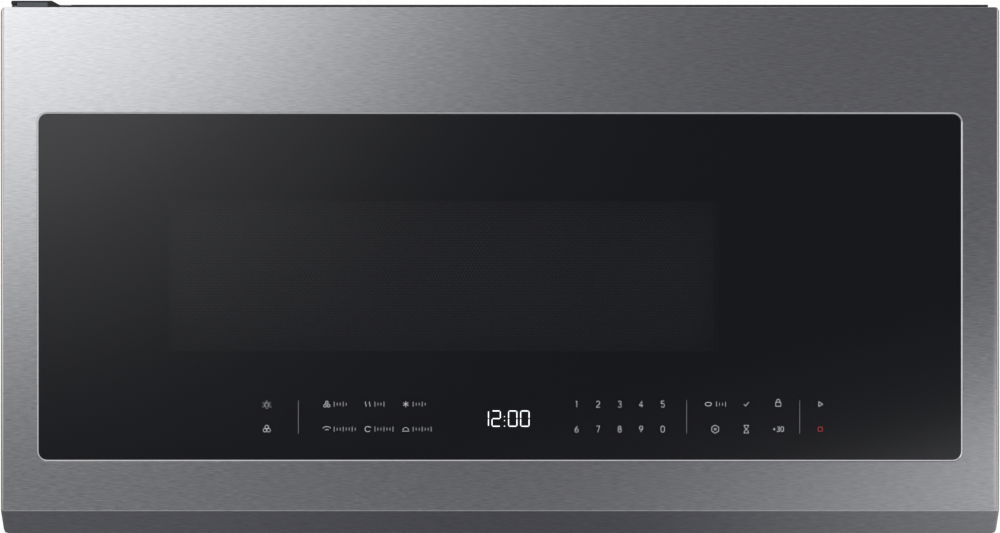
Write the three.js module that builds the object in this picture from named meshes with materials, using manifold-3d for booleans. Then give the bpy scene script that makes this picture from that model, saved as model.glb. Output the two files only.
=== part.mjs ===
// Over-the-range microwave oven, in millimetres with +Z up.
// +X is to the right and -Y is forward for someone who faces the door.
// The origin is on the wall face, half-way across it and BASE_DROP above the cabinet's base.
import * as THREE from 'three';
import { mergeVertices } from 'three/addons/utils/BufferGeometryUtils.js';
import Module from 'manifold-3d';

const wasm = await Module();
wasm.setup();

// ---------------------------------------------------------------- clearances
const SEAT = 0.3; // between two pieces that rest on each other
const RUNNING = 0.4; // round a shaft or pin that turns
const HANGING = 0.8; // round a filter that drops out of its frame
const SWEEP = 2; // beside a piece that swings past

// ------------------------------------------------------------------- cabinet
const UNIT_WIDTH = 759; // across the door
const UNIT_HEIGHT = 408.5; // cabinet base to cabinet top
const BASE_DROP = 205; // cabinet base below the origin
const UNIT_DEPTH = 400; // wall to the front of the door
const DOOR_DEPTH = 46; // front of the door to the rear edge of its skin
const DOOR_STANDOFF = 4; // rear edge of the door skin to the cabinet front
const DOOR_OVERHANG = 1.5; // door past the cabinet at each side
const SHEET = 0.9;

const WALL_PLATE_SHEET = 1.5;
const WALL_PLATE_WIDTH = 700;
const WALL_PLATE_RISE = 15; // its lower edge above the cabinet base
const WALL_PLATE_DROP = 83.5; // its upper edge below the cabinet top
const HOOK_SPACING = 500; // between the two hanging hooks
const HOOK_WIDTH = 40;
const HOOK_HEIGHT = 16;
const HOOK_CATCH = 8; // hook height left behind the rear plate
const HOOK_RISE = 85; // hooks above the cabinet base
const SCREW_HOLE = 3; // radius
const SCREW_SPACING = 300;

const FRONT_BAR = 15; // frame above the oven mouth
const HINGE_POST = 46; // frame at the left of the vent grille
const GRILLE_WALL = 3;
const GRILLE_DEPTH = 50;
const GRILLE_SLOT = 6; // height of one slot
const GRILLE_BAR = 8; // bar between two slots
const GRILLE_ROWS = 4;
const GRILLE_COLUMNS = 6;
const GRILLE_MARGIN = 14;
const FILTER_PAD_WIDTH = 320;
const FILTER_PAD_DEPTH = 18;
const FILTER_PAD_MARGIN = 4;

// ---------------------------------------------------------------------- oven
const CAVITY_LEFT_GAP = 55; // cabinet side to the oven's left wall
const COMPARTMENT_WIDTH = 141; // oven's right wall to the cabinet side
const PLENUM_HEIGHT = 77; // cabinet base to the oven floor
const VENT_HEIGHT = 86.5; // oven roof to the cabinet top
const CAVITY_REAR_GAP = 17; // oven's back to the back of the cabinet
const CAVITY_WALL = 0.8;

const TRAY_GAP = 10; // tray to the oven's back wall
const TRAY_GLASS = 5;
const TRAY_RIM = 15;
const TRAY_RIM_WIDTH = 8;
const TRAY_LUG_RADIUS = 3;
const TRAY_LUG_CIRCLE = 10;
const TRAY_LUG_DEPTH = 6;
const ROLLER_RADIUS = 8;
const ROLLER_WIDTH = 8;
const ROLLER_INSET = 50; // rim of the tray to the middle of a roller
const ROLLER_COUNT = 3;
const RING_SECTION = 6;
const AXLE_RADIUS = 2;
const COUPLER_SHAFT = 3.5;
const COUPLER_LOBE = 14;
const COUPLER_LOBE_WIDTH = 7;
const COUPLER_HEIGHT = 8;
const TURNTABLE_MOTOR_RADIUS = 25;
const TURNTABLE_MOTOR_HEIGHT = 16;
const MOTOR_EAR = 8;
const MOTOR_EAR_WIDTH = 12;
const MOTOR_EAR_SHEET = 2;

const WAVEGUIDE_DEPTH = 30;
const WAVEGUIDE_WIDTH = 80;
const WAVEGUIDE_HEIGHT = 120;
const WAVEGUIDE_LEVEL = 0.4; // share of its free height, above the transformer, left below it
const WAVEGUIDE_MARGIN = 10; // flange round the oven's microwave window
const MICA = 0.8;
const MAGNETRON_LENGTH = 66;
const MAGNETRON_WIDTH = 90;
const MAGNETRON_HEIGHT = 78;
const MAGNETRON_WALL = 1.6;
const MAGNETRON_CORE = 18;
const MAGNETRON_FINS = 6;
const MAGNETRON_FIN = 0.8;
const MAGNETRON_BOX = 20; // length of the filter box at its end
const ANTENNA_RADIUS = 8;
const ANTENNA_LENGTH = 16;

const SHELF_SHEET = 1;
const CORE_WIDTH = 100;
const CORE_HEIGHT = 84;
const CORE_STACK = 60;
const CORE_LIMB = 17;
const CORE_SETBACK = 88; // fan to the middle of the transformer
const WINDING_RADIAL = 15;
const CAPACITOR_WIDTH = 52;
const CAPACITOR_THICKNESS = 34;
const CAPACITOR_HEIGHT = 86;
const CAPACITOR_GAP = 24; // behind the cabinet front
const TERMINAL = 3;
const LAMP_RADIUS = 14;
const LAMP_HEIGHT = 30;
const LAMP_INSET = 47; // from the oven's right wall
const BOARD = 1.6;
const POWER_BOARD_WIDTH = 130;
const POWER_BOARD_DEPTH = 110;
const POWER_BOARD_POST = 6;
const POWER_BOARD_INSET = 40;
const POWER_FUSE_HEIGHT = 16;
const POWER_RELAY_HEIGHT = 22;
const POWER_PLUG_HEIGHT = 18;
const POWER_COIL_HEIGHT = 34;

const FAN_RADIUS = 52;
const FAN_TIP_GAP = 5;
const FAN_HUB = 12;
const FAN_DEPTH = 14;
const FAN_BLADES = 5;
const FAN_BLADE = 1.5;
const FAN_PITCH = 35; // degrees
const FAN_SHAFT = 2.5;
const FAN_SETBACK = 60.2; // front of the shroud to the cabinet back
const FAN_SHROUD = 1.2;
const FAN_MARGIN = 10;
const FAN_MOTOR_WIDTH = 60;
const FAN_MOTOR_HEIGHT = 48;
const FAN_MOTOR_DEPTH = 26;
const FAN_ARM = 8;

// --------------------------------------------------------------- ventilation
const WHEEL_RADIUS = 33;
const WHEEL_BLADE = 6; // radial height of a blade
const WHEEL_BLADE_SHEET = 1;
const WHEEL_BLADES = 16;
const WHEEL_LENGTH = 78;
const WHEEL_DISC = 2;
const BLOWER_SHAFT = 4;
const BLOWER_MOTOR_LENGTH = 62;
const BLOWER_MOTOR_RADIUS = 30;
const BLOWER_FOOT = 20;
const SCROLL_WALL = 1.2;
const SCROLL_GAP = 4; // round a blower wheel
const SCROLL_INLET = 26; // radius
const BLOWER_SETBACK = 86.2; // blower axis to the cabinet back
const DUCT_WIDTH = 254;
const DUCT_DEPTH = 83;
const DUCT_HEIGHT = 13;
const DUCT_WALL = 1.2;
const DUCT_FLANGE = 12;
const DUCT_LEDGE = 4;
const DAMPER_SHEET = 1.2;
const DAMPER_PIN = 1.5;
const GLAND_RADIUS = 11;
const GLAND_HEIGHT = 9;
const GLAND_INSET = 58; // from the right side and from the back
const GREASE_WIDTH = 255;
const GREASE_DEPTH = 160;
const GREASE_THICKNESS = 9;
const GREASE_RIM = 9;
const GREASE_RECESS = 3;
const GREASE_INSET = 163; // middle of a filter from the cabinet side
const LENS_WIDTH = 90;
const LENS_DEPTH = 34;
const LENS_THICKNESS = 3;
const LENS_SPACING = 300;
const LENS_SETBACK = 35; // middle of a lens behind the cabinet front

// ---------------------------------------------------------------------- door
const DOOR_TOP_DROP = 4.8; // door below the cabinet top
const LIP_RISE = 1.3; // finger pull above the cabinet base
const LIP_HEIGHT = 18.4;
const LIP_DEPTH = 18;
const LIP_EDGE = 4;
const LIP_CORNER = 4;
const SKIN = 1;
const DOOR_FLOOR_RISE = 3.3; // bottom flange above the bend of the finger pull
const DOOR_CORNER = 4.5; // radius of the two upper corners
const WINDOW_TOP_BAND = 80.7;
const WINDOW_SIDE_BAND = 27.5;
const WINDOW_BOTTOM_BAND = 37.2;
const WINDOW_CORNER = 6.5;
const TRIM_GROOVE = 0.4;
const TRIM_WIDTH = 1.3;
const TRIM_PROUD = 0.4;
const TRIM_DEPTH = 4.2;
const GLASS = 4;
const INNER_FRAME_WALL = 2.5;
const SCREEN_SIDE_MARGIN = 61; // inside the oven mouth at each side
const SCREEN_LOWER_MARGIN = 55;
const SCREEN_UPPER_MARGIN = 57;
const SCREEN_DEPTH = 25; // behind the front of the door
const SCREEN_SHEET = 0.8;
const SCREEN_LAP = 8;
const CHOKE_LAP = 22; // choke past the oven mouth at each side
const CHOKE_SHEET = 1;
const CHOKE_GAP = 0.5; // choke to the cabinet front
const INNER_PANE = 3;
const BACK_COVER = 2;
const PANEL_WIDTH = 500; // the touch panel's board
const PANEL_HEIGHT = 50;
const PANEL_RISE = 6.1; // above the window's lower edge
const DISPLAY_OFFSET = 6; // right of the middle
const DISPLAY_RISE = 32.1; // its middle above the window's lower edge
const DISPLAY_WIDTH = 46;
const DISPLAY_HEIGHT = 18;
const DISPLAY_DEPTH = 6;
const CHIP = 14;
const CHIP_HEIGHT = 4;

const PIVOT_INSET = 9.5; // hinge axis from the door's left edge
const PIVOT_DEPTH = 32; // hinge axis behind the front of the door
const PIN_RADIUS = 3;
const PIN_REACH = 8;
const ARM_SHEET = 2.5;
const ARM_END = 5;
const ARM_WIDTH = 30;
const ARM_LEG = 40;
const ARM_LOWER_LEG = 16;
const UPPER_ARM_GAP = 1.2; // door top to the upper arm
const LOWER_ARM_GAP = 2; // lower arm to the door's bottom flange
const HINGE_BLOCK = 6;
const HINGE_BLOCK_WIDTH = 48;
const HINGE_BLOCK_DEPTH = 34;
const COVER_WALL = 1;
const COVER_FRONT = 17; // in front of the hinge axis
const COVER_TAPER = 7;
const COVER_GAP = 0.5; // above the door

const KEY_INSET = 88; // door key from the cabinet side
const KEY_WIDTH = 12;
const KEY_THICKNESS = 9;
const KEY_LENGTH = 160;
const KEY_TRAVEL = 4;
const KEY_HOOK_SPACING = 120;
const KEY_HOOK_THICKNESS = 3;
const KEY_HOOK_HEIGHT = 14;
const KEY_BARB = 4;
const KEY_REACH = 16; // hook past the cabinet front
const KEY_SIDE_GAP = 3;
const SPRING_TURNS = 6;
const SPRING_LENGTH = 21;
const SPRING_RADIUS = 3;
const SPRING_WIRE = 0.5;
const LUG = 3;
const LATCH_WIDTH = 28;
const LATCH_DEPTH = 36;
const LATCH_WALL = 12;

// ------------------------------------------------------- worked-out positions
const ROUND = 24; // sides of a round piece
const bodyHalf = UNIT_WIDTH / 2 - DOOR_OVERHANG;
const bodyTop = UNIT_HEIGHT - BASE_DROP;
const bodyBottom = -BASE_DROP;
const doorFront = -UNIT_DEPTH;
const doorBack = doorFront + DOOR_DEPTH;
const bodyFront = doorBack + DOOR_STANDOFF;
const bodyBack = -(WALL_PLATE_SHEET + SEAT);
const innerHalf = bodyHalf - SHEET - SEAT;
const innerTop = bodyTop - SHEET - SEAT;
const innerBottom = bodyBottom + SHEET + SEAT;
const innerFront = bodyFront + SHEET + SEAT;
const innerBack = bodyBack - SHEET - SEAT;

const cavityLeft = CAVITY_LEFT_GAP - bodyHalf;
const cavityRight = bodyHalf - COMPARTMENT_WIDTH;
const cavityX = (cavityLeft + cavityRight) / 2;
const cavityFloor = bodyBottom + PLENUM_HEIGHT;
const cavityTop = bodyTop - VENT_HEIGHT;
const cavityBack = bodyBack - CAVITY_REAR_GAP;
const cavityRoof = cavityTop + CAVITY_WALL + SEAT; // where pieces stand on the oven
const cavityFlank = cavityRight + CAVITY_WALL + SEAT; // where pieces fit on its right wall
const shelfTop = cavityFloor - CAVITY_WALL - SEAT + SHELF_SHEET;
const compartmentX = (cavityFlank + innerHalf) / 2;
const trayY = (innerFront + cavityBack) / 2;
const trayRadius = (cavityBack - innerFront) / 2 - TRAY_GAP;
const rollerCircle = trayRadius - ROLLER_INSET; // from the axis to the middle of a roller
const waveguideLow = shelfTop + SEAT + CORE_HEIGHT + MAGNETRON_HEIGHT / 2;
const waveguideHigh = cavityTop - WAVEGUIDE_HEIGHT / 2;
const waveguideZ = waveguideLow + WAVEGUIDE_LEVEL * (waveguideHigh - waveguideLow);
const fanY = bodyBack - FAN_SETBACK;
const blowerY = bodyBack - BLOWER_SETBACK;
const glandX = bodyHalf - GLAND_INSET;
const glandY = bodyBack - GLAND_INSET;
const greaseX = bodyHalf - GREASE_INSET;
const greaseY = (bodyFront + bodyBack) / 2;
const lensX = LENS_SPACING / 2;
const lensY = bodyFront + LENS_SETBACK;
const hookLevel = bodyBottom + HOOK_RISE;
const grilleBottom = cavityTop + FRONT_BAR;
const grilleLeft = -bodyHalf + HINGE_POST;

const doorHalf = UNIT_WIDTH / 2;
const doorTop = bodyTop - DOOR_TOP_DROP;
const lipBottom = bodyBottom + LIP_RISE;
const bendZ = lipBottom + LIP_HEIGHT;
const doorFloor = bendZ + DOOR_FLOOR_RISE;
const lipBack = doorFront + LIP_DEPTH + LIP_EDGE;
const windowHalf = doorHalf - WINDOW_SIDE_BAND;
const windowTop = doorTop - WINDOW_TOP_BAND;
const windowBottom = bendZ + WINDOW_BOTTOM_BAND;
const glassFront = doorFront;
const glassBack = glassFront + GLASS;
const screenX = [cavityLeft + SCREEN_SIDE_MARGIN, cavityRight - SCREEN_SIDE_MARGIN];
const screenZ = [cavityFloor + SCREEN_LOWER_MARGIN, cavityTop - SCREEN_UPPER_MARGIN];
const panelX = [-PANEL_WIDTH / 2, PANEL_WIDTH / 2];
const panelZ = [windowBottom + PANEL_RISE, windowBottom + PANEL_RISE + PANEL_HEIGHT];
const displayZ = windowBottom + DISPLAY_RISE;
const keyX = bodyHalf - KEY_INSET;
const lampX = cavityRight - LAMP_INSET;
const pivotX = -doorHalf + PIVOT_INSET;
const pivotY = doorFront + PIVOT_DEPTH;
const upperArmZ = doorTop + UPPER_ARM_GAP;
const lowerArmZ = doorFloor - LOWER_ARM_GAP;
const hookZs = [-KEY_HOOK_SPACING / 2, KEY_HOOK_SPACING / 2];
const hookTip = bodyFront + KEY_REACH;
const coverFace = doorBack - BACK_COVER; // inner face of the door's back cover

// ------------------------------------------------------------- solid helpers
function solidOf(geometry) {
  geometry.deleteAttribute('normal');
  geometry.deleteAttribute('uv');
  const merged = mergeVertices(geometry, 1e-4);
  return new wasm.Manifold(new wasm.Mesh({
    numProp: 3,
    vertProperties: new Float32Array(merged.attributes.position.array),
    triVerts: new Uint32Array(merged.index.array),
  }));
}

function join(first, ...others) {
  return others.reduce((sum, solid) => sum.add(solid), first);
}

function cut(body, ...tools) {
  return tools.reduce((rest, tool) => rest.subtract(tool), body);
}

// A block between two values along each axis.
function block([x0, x1], [y0, y1], [z0, z1]) {
  const geometry = new THREE.BoxGeometry(x1 - x0, y1 - y0, z1 - z0);
  geometry.translate((x0 + x1) / 2, (y0 + y1) / 2, (z0 + z1) / 2);
  return solidOf(geometry);
}

// A round bar along an axis; its centre is given by the two other coordinates.
function rod(axis, [u, v], radius, start, end, sides = ROUND) {
  const geometry = new THREE.CylinderGeometry(radius, radius, end - start, sides);
  geometry.translate(0, (start + end) / 2, 0);
  if (axis === 'x') geometry.rotateZ(-Math.PI / 2).translate(0, u, v);
  if (axis === 'y') geometry.translate(u, 0, v);
  if (axis === 'z') geometry.rotateX(Math.PI / 2).translate(u, v, 0);
  return solidOf(geometry);
}

// An outline in X and Z, given thickness along Y.
function frontPanel(shape, [y0, y1], bevel = 0) {
  const geometry = new THREE.ExtrudeGeometry(shape, {
    depth: y1 - y0 - 2 * bevel,
    bevelEnabled: bevel > 0,
    bevelSize: bevel,
    bevelThickness: bevel,
    bevelOffset: -bevel,
    bevelSegments: 2,
    curveSegments: 5,
  });
  return solidOf(geometry.rotateX(Math.PI / 2).translate(0, y1 - bevel, 0));
}

// An outline in Y and Z, drawn out along X.
function section(shape, [x0, x1]) {
  const geometry = new THREE.ExtrudeGeometry(shape, { depth: x1 - x0, bevelEnabled: false });
  const turn = new THREE.Matrix4().set(0, 0, 1, x0, 1, 0, 0, 0, 0, 1, 0, 0, 0, 0, 0, 1);
  return solidOf(geometry.applyMatrix4(turn));
}

// An outline in X and Y, given height along Z.
function floorPlan(shape, [z0, z1]) {
  const geometry = new THREE.ExtrudeGeometry(shape, {
    depth: z1 - z0,
    bevelEnabled: false,
    curveSegments: 8,
  });
  return solidOf(geometry.translate(0, 0, z0));
}

function outline(points) {
  return new THREE.Shape(points.map(([u, v]) => new THREE.Vector2(u, v)));
}

// A rectangle whose four corner radii run round from the lower left.
function roundedRectangle([x0, x1], [z0, z1], radii) {
  const [a, b, c, d] = Array.isArray(radii) ? radii : [radii, radii, radii, radii];
  const shape = new THREE.Shape();
  shape.moveTo(x0 + a, z0);
  shape.lineTo(x1 - b, z0);
  if (b > 0) shape.absarc(x1 - b, z0 + b, b, -Math.PI / 2, 0);
  shape.lineTo(x1, z1 - c);
  if (c > 0) shape.absarc(x1 - c, z1 - c, c, 0, Math.PI / 2);
  shape.lineTo(x0 + d, z1);
  if (d > 0) shape.absarc(x0 + d, z1 - d, d, Math.PI / 2, Math.PI);
  shape.lineTo(x0, z0 + a);
  if (a > 0) shape.absarc(x0 + a, z0 + a, a, Math.PI, 1.5 * Math.PI);
  return shape;
}

// A body turned about Z from a profile of radius and height.
function turned(points, sides = ROUND) {
  const profile = points.map(([radius, z]) => new THREE.Vector2(radius, z));
  return solidOf(new THREE.LatheGeometry(profile, sides).rotateX(Math.PI / 2));
}

// The wasm solid as a named mesh with a material of its own.
function piece(name, solid, [color, roughness, metalness]) {
  const { vertProperties, triVerts } = solid.getMesh();
  const geometry = new THREE.BufferGeometry();
  geometry.setAttribute('position', new THREE.BufferAttribute(vertProperties, 3));
  geometry.setIndex(new THREE.BufferAttribute(triVerts, 1));
  geometry.computeVertexNormals();
  const material = new THREE.MeshStandardMaterial({ color, roughness, metalness, flatShading: true });
  const mesh = new THREE.Mesh(geometry, material);
  mesh.name = name;
  return mesh;
}

function groupAt([x, y, z], ...members) {
  const group = new THREE.Group();
  group.position.set(x, y, z);
  group.add(...members);
  return group;
}

// Colour, roughness and metalness of each material.
const STAINLESS = [0xb9bbbd, 0.3, 1];
const POLISHED = [0xe6e8ea, 0.08, 1];
const ZINC = [0xb4b6b4, 0.45, 1];
const ENAMEL = [0xb9b5a8, 0.4, 0.1];
const DARK_PAINT = [0x2a2b2d, 0.5, 0.2];
const STEEL = [0x8d9093, 0.4, 1];
const BLACK_PLASTIC = [0x17181a, 0.45, 0];
const GREY_PLASTIC = [0x55585b, 0.5, 0];
const WHITE_PLASTIC = [0xdcdad2, 0.5, 0];
const BLACK_GLASS = [0x0b0c0e, 0.05, 0];
const CLEAR_GLASS = [0xcfdcd8, 0.05, 0];
const ALUMINIUM = [0xc5c8ca, 0.35, 1];
const COPPER = [0xa8643a, 0.4, 1];
const BOARD_GREEN = [0x1f5a36, 0.5, 0];
const CARBON = [0x1b1b1b, 0.9, 0];
const MICA_TAN = [0xb7a98a, 0.6, 0];

// --------------------------------------------------------------- cabinet box
function wallPlate() {
  const half = WALL_PLATE_WIDTH / 2;
  const low = bodyBottom + WALL_PLATE_RISE;
  const high = bodyTop - WALL_PLATE_DROP;
  let plate = block([-half, half], [-WALL_PLATE_SHEET, 0], [low, high]);
  const legBack = bodyBack - SHEET - SEAT;
  for (const x of [-HOOK_SPACING / 2, HOOK_SPACING / 2]) {
    const span = [x - HOOK_WIDTH / 2, x + HOOK_WIDTH / 2];
    const foot = [hookLevel, hookLevel + WALL_PLATE_SHEET];
    const leg = [hookLevel, hookLevel + HOOK_HEIGHT];
    plate = join(
      plate,
      block(span, [legBack - WALL_PLATE_SHEET, -WALL_PLATE_SHEET / 2], foot),
      block(span, [legBack - WALL_PLATE_SHEET, legBack], leg),
    );
  }
  for (const x of [-SCREW_SPACING, -SCREW_SPACING / 2, SCREW_SPACING / 2, SCREW_SPACING]) {
    for (const z of [low + SCREW_HOLE * 5, high - SCREW_HOLE * 5]) {
      plate = cut(plate, rod('y', [x, z], SCREW_HOLE, -2 * WALL_PLATE_SHEET, WALL_PLATE_SHEET, 12));
    }
  }
  return piece('wall_plate', plate, ZINC);
}

function rearPlate() {
  let plate = block([-innerHalf, innerHalf], [bodyBack - SHEET, bodyBack], [innerBottom, innerTop]);
  for (const x of [-HOOK_SPACING / 2, HOOK_SPACING / 2]) {
    const half = HOOK_WIDTH / 2 + SWEEP;
    const slot = [hookLevel - SEAT, hookLevel + HOOK_HEIGHT - HOOK_CATCH];
    plate = cut(plate, block([x - half, x + half], [bodyBack - 2 * SHEET, bodyBack + SHEET], slot));
  }
  return piece('rear_plate', plate, ZINC);
}

function sidePanel(name, side) {
  const [near, far] = [bodyHalf - SHEET, bodyHalf];
  const span = side > 0 ? [near, far] : [-far, -near];
  return piece(name, block(span, [bodyFront, bodyBack], [bodyBottom, bodyTop]), DARK_PAINT);
}

function topPlate() {
  const front = bodyFront + GRILLE_DEPTH + SEAT;
  const half = DUCT_WIDTH / 2 - DUCT_WALL - DUCT_LEDGE;
  const depth = DUCT_DEPTH / 2 - DUCT_WALL - DUCT_LEDGE;
  const through = [bodyTop - 2 * SHEET, bodyTop + SHEET];
  const sheet = [bodyTop - SHEET, bodyTop];
  let plate = join(
    block([-innerHalf, innerHalf], [front, bodyBack], sheet),
    block([-innerHalf, grilleLeft - SEAT], [bodyFront, front + 1], sheet),
  );
  plate = cut(
    plate,
    block([-half, half], [blowerY - depth, blowerY + depth], through),
    rod('z', [glandX, glandY], GLAND_RADIUS * 0.7 + SEAT, ...through),
  );
  for (const x of [-SCREW_SPACING, SCREW_SPACING]) {
    plate = cut(plate, rod('z', [x, front + 5 * SCREW_HOLE], SCREW_HOLE, ...through, 12));
  }
  return piece('top_plate', plate, ZINC);
}

function basePlate() {
  const through = [bodyBottom - SHEET, bodyBottom + 2 * SHEET];
  let plate = block([-innerHalf, innerHalf], [bodyFront, bodyBack], [bodyBottom, bodyBottom + SHEET]);
  for (const side of [-1, 1]) {
    plate = cut(
      plate,
      boxAround([side * greaseX, greaseY], [GREASE_WIDTH, GREASE_DEPTH], HANGING, through),
      boxAround([side * lensX, lensY], [LENS_WIDTH, LENS_DEPTH], SEAT, through),
    );
  }
  return piece('base_plate', plate, DARK_PAINT);
}

// A block over a rectangle in plan, grown by a margin on each side.
function boxAround([x, y], [width, depth], margin, span) {
  const half = width / 2 + margin;
  const deep = depth / 2 + margin;
  return block([x - half, x + half], [y - deep, y + deep], span);
}

function frontFrame() {
  const postTop = upperArmZ - SEAT;
  const barTop = grilleBottom - SEAT;
  const postSide = grilleLeft - SEAT;
  const shape = outline([
    [-innerHalf, innerBottom], [innerHalf, innerBottom], [innerHalf, barTop],
    [postSide, barTop], [postSide, postTop], [-innerHalf, postTop],
  ]);
  const through = [bodyFront - SHEET, bodyFront + 2 * SHEET];
  let frame = frontPanel(shape, [bodyFront, bodyFront + SHEET]);
  frame = cut(frame, block([cavityLeft, cavityRight], through, [cavityFloor, cavityTop]));
  for (const z of hookZs) frame = cut(frame, hookPath(z, through, KEY_SIDE_GAP));
  return piece('front_frame', frame, STEEL);
}

// The space that one hook of the door key needs, with room at its sides.
function hookPath(z, span, sideGap) {
  const half = KEY_HOOK_THICKNESS / 2 + sideGap;
  const low = z - KEY_HOOK_HEIGHT / 2 - KEY_BARB - 1;
  const high = z + KEY_HOOK_HEIGHT / 2 + KEY_TRAVEL + 1;
  return block([keyX - half, keyX + half], span, [low, high]);
}

function ventGrille() {
  const right = innerHalf;
  const width = right - grilleLeft;
  const back = bodyFront + GRILLE_DEPTH;
  let grille = join(
    block([grilleLeft, right], [bodyFront, bodyFront + GRILLE_WALL], [grilleBottom, bodyTop]),
    block([grilleLeft, right], [bodyFront, back], [bodyTop - GRILLE_WALL, bodyTop]),
  );
  const pitch = (width - GRILLE_MARGIN) / GRILLE_COLUMNS;
  const rowPitch = GRILLE_SLOT + GRILLE_BAR;
  for (let column = 0; column < GRILLE_COLUMNS; column += 1) {
    const x = grilleLeft + GRILLE_MARGIN + column * pitch;
    const span = [x, x + pitch - GRILLE_MARGIN];
    for (let row = 0; row < GRILLE_ROWS; row += 1) {
      const z = grilleBottom + GRILLE_BAR + row * rowPitch;
      const through = [bodyFront - GRILLE_WALL, bodyFront + 2 * GRILLE_WALL];
      grille = cut(grille, block(span, through, [z, z + GRILLE_SLOT]));
    }
    const slotBack = back - GRILLE_BAR;
    const above = [bodyTop - 2 * GRILLE_WALL, bodyTop + GRILLE_WALL];
    grille = cut(
      grille,
      block(span, [slotBack - GRILLE_SLOT, slotBack], above),
      block(span, [slotBack - rowPitch - GRILLE_SLOT, slotBack - rowPitch], above),
    );
  }
  return piece('vent_grille', grille, BLACK_PLASTIC);
}

function charcoalFilter() {
  const middle = (grilleLeft + innerHalf) / 2;
  const half = FILTER_PAD_WIDTH / 2;
  const front = bodyFront + GRILLE_WALL + SEAT;
  const low = grilleBottom + FILTER_PAD_MARGIN;
  const high = bodyTop - GRILLE_WALL - FILTER_PAD_MARGIN;
  const pad = block([middle - half, middle + half], [front, front + FILTER_PAD_DEPTH], [low, high]);
  return piece('charcoal_filter', pad, CARBON);
}

function cordGland() {
  const under = bodyTop - SHEET - SEAT;
  const gland = join(
    rod('z', [glandX, glandY], GLAND_RADIUS, bodyTop + SEAT, bodyTop + SEAT + GLAND_HEIGHT),
    rod('z', [glandX, glandY], GLAND_RADIUS * 0.7, under - GLAND_HEIGHT, bodyTop + GLAND_HEIGHT),
  );
  const bore = rod('z', [glandX, glandY], GLAND_RADIUS * 0.4, bodyBottom, UNIT_HEIGHT);
  return piece('cord_gland', cut(gland, bore), BLACK_PLASTIC);
}

// ------------------------------------------------------------------- hinges
// A flat arm round the hinge axis that runs back to the cabinet.
function hingeArm([z0, z1], back) {
  const shape = new THREE.Shape();
  const left = pivotX - ARM_END;
  shape.moveTo(left, back);
  shape.lineTo(left, pivotY);
  shape.absarc(pivotX, pivotY, ARM_END, Math.PI, 1.75 * Math.PI);
  shape.lineTo(left + ARM_WIDTH, bodyFront - DOOR_STANDOFF);
  shape.lineTo(left + ARM_WIDTH, back);
  shape.closePath();
  return floorPlan(shape, [z0, z1]);
}

function hingeBracketUpper() {
  const left = pivotX - ARM_END;
  const back = innerFront + ARM_SHEET;
  const top = upperArmZ + ARM_SHEET;
  const leg = block([left, left + ARM_WIDTH], [innerFront, back], [top - ARM_LEG, top]);
  const pin = rod('z', [pivotX, pivotY], PIN_RADIUS, doorTop - SKIN - PIN_REACH + SWEEP, top);
  return piece('hinge_bracket_upper', join(hingeArm([upperArmZ, top], back), leg, pin), STEEL);
}

function hingeBracketLower() {
  const left = pivotX - ARM_END;
  const back = bodyFront - SEAT;
  const low = lowerArmZ - ARM_SHEET;
  const leg = block([left, left + ARM_WIDTH], [back - ARM_SHEET, back], [low - ARM_LOWER_LEG, low + 1]);
  const pin = rod('z', [pivotX, pivotY], PIN_RADIUS, low, doorFloor + SKIN + PIN_REACH - SWEEP);
  return piece('hinge_bracket_lower', join(hingeArm([low, lowerArmZ], back), leg, pin), STEEL);
}

// The cap over the upper arm, whose top slopes down to a thin right-hand end.
function hingeCover() {
  const left = pivotX - ARM_END - SEAT - COVER_WALL;
  const slope = pivotX - ARM_END + ARM_WIDTH + SEAT + COVER_WALL;
  const right = slope + COVER_TAPER;
  const low = doorTop + COVER_GAP;
  const front = pivotY - COVER_FRONT;
  const back = bodyFront - SEAT;
  const shape = outline([
    [left, low], [right, low], [right, low + COVER_WALL], [slope, bodyTop], [left, bodyTop],
  ]);
  const ceiling = upperArmZ + ARM_SHEET + SEAT;
  const hollow = block(
    [left + COVER_WALL, slope - COVER_WALL], [front + COVER_WALL, back + 1], [low - 1, ceiling],
  );
  return piece('hinge_cover', cut(frontPanel(shape, [front, back]), hollow), BLACK_PLASTIC);
}

function latchBody() {
  const half = LATCH_WIDTH / 2;
  const high = hookZs[1] + KEY_HOOK_HEIGHT / 2 + KEY_TRAVEL + LATCH_WALL;
  const low = hookZs[0] - KEY_HOOK_HEIGHT / 2 - KEY_BARB - LATCH_WALL;
  let body = block([keyX - half, keyX + half], [innerFront, innerFront + LATCH_DEPTH], [low, high]);
  for (const z of hookZs) {
    body = cut(body, hookPath(z, [bodyFront, hookTip + LATCH_WALL / 2], KEY_SIDE_GAP + 1));
  }
  return piece('latch_body', body, WHITE_PLASTIC);
}

// --------------------------------------------------------------------- oven
function ovenCavity() {
  const wall = CAVITY_WALL;
  const outer = block(
    [cavityLeft - wall, cavityRight + wall], [innerFront, cavityBack + wall],
    [cavityFloor - wall, cavityTop + wall],
  );
  const inner = block(
    [cavityLeft, cavityRight], [innerFront - 1, cavityBack], [cavityFloor, cavityTop],
  );
  const half = WAVEGUIDE_WIDTH / 2 - WAVEGUIDE_MARGIN;
  const tall = WAVEGUIDE_HEIGHT / 2 - WAVEGUIDE_MARGIN;
  const port = block(
    [cavityRight - 1, cavityRight + 2 * wall], [trayY - half, trayY + half],
    [waveguideZ - tall, waveguideZ + tall],
  );
  const shaft = rod('z', [cavityX, trayY], COUPLER_SHAFT + 2, cavityFloor - 2, cavityFloor + 1);
  const lamp = rod('z', [lampX, trayY], LAMP_RADIUS - 3, cavityTop - 1, cavityTop + 2);
  return piece('oven_cavity', cut(outer, inner, port, shaft, lamp), ENAMEL);
}

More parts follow.
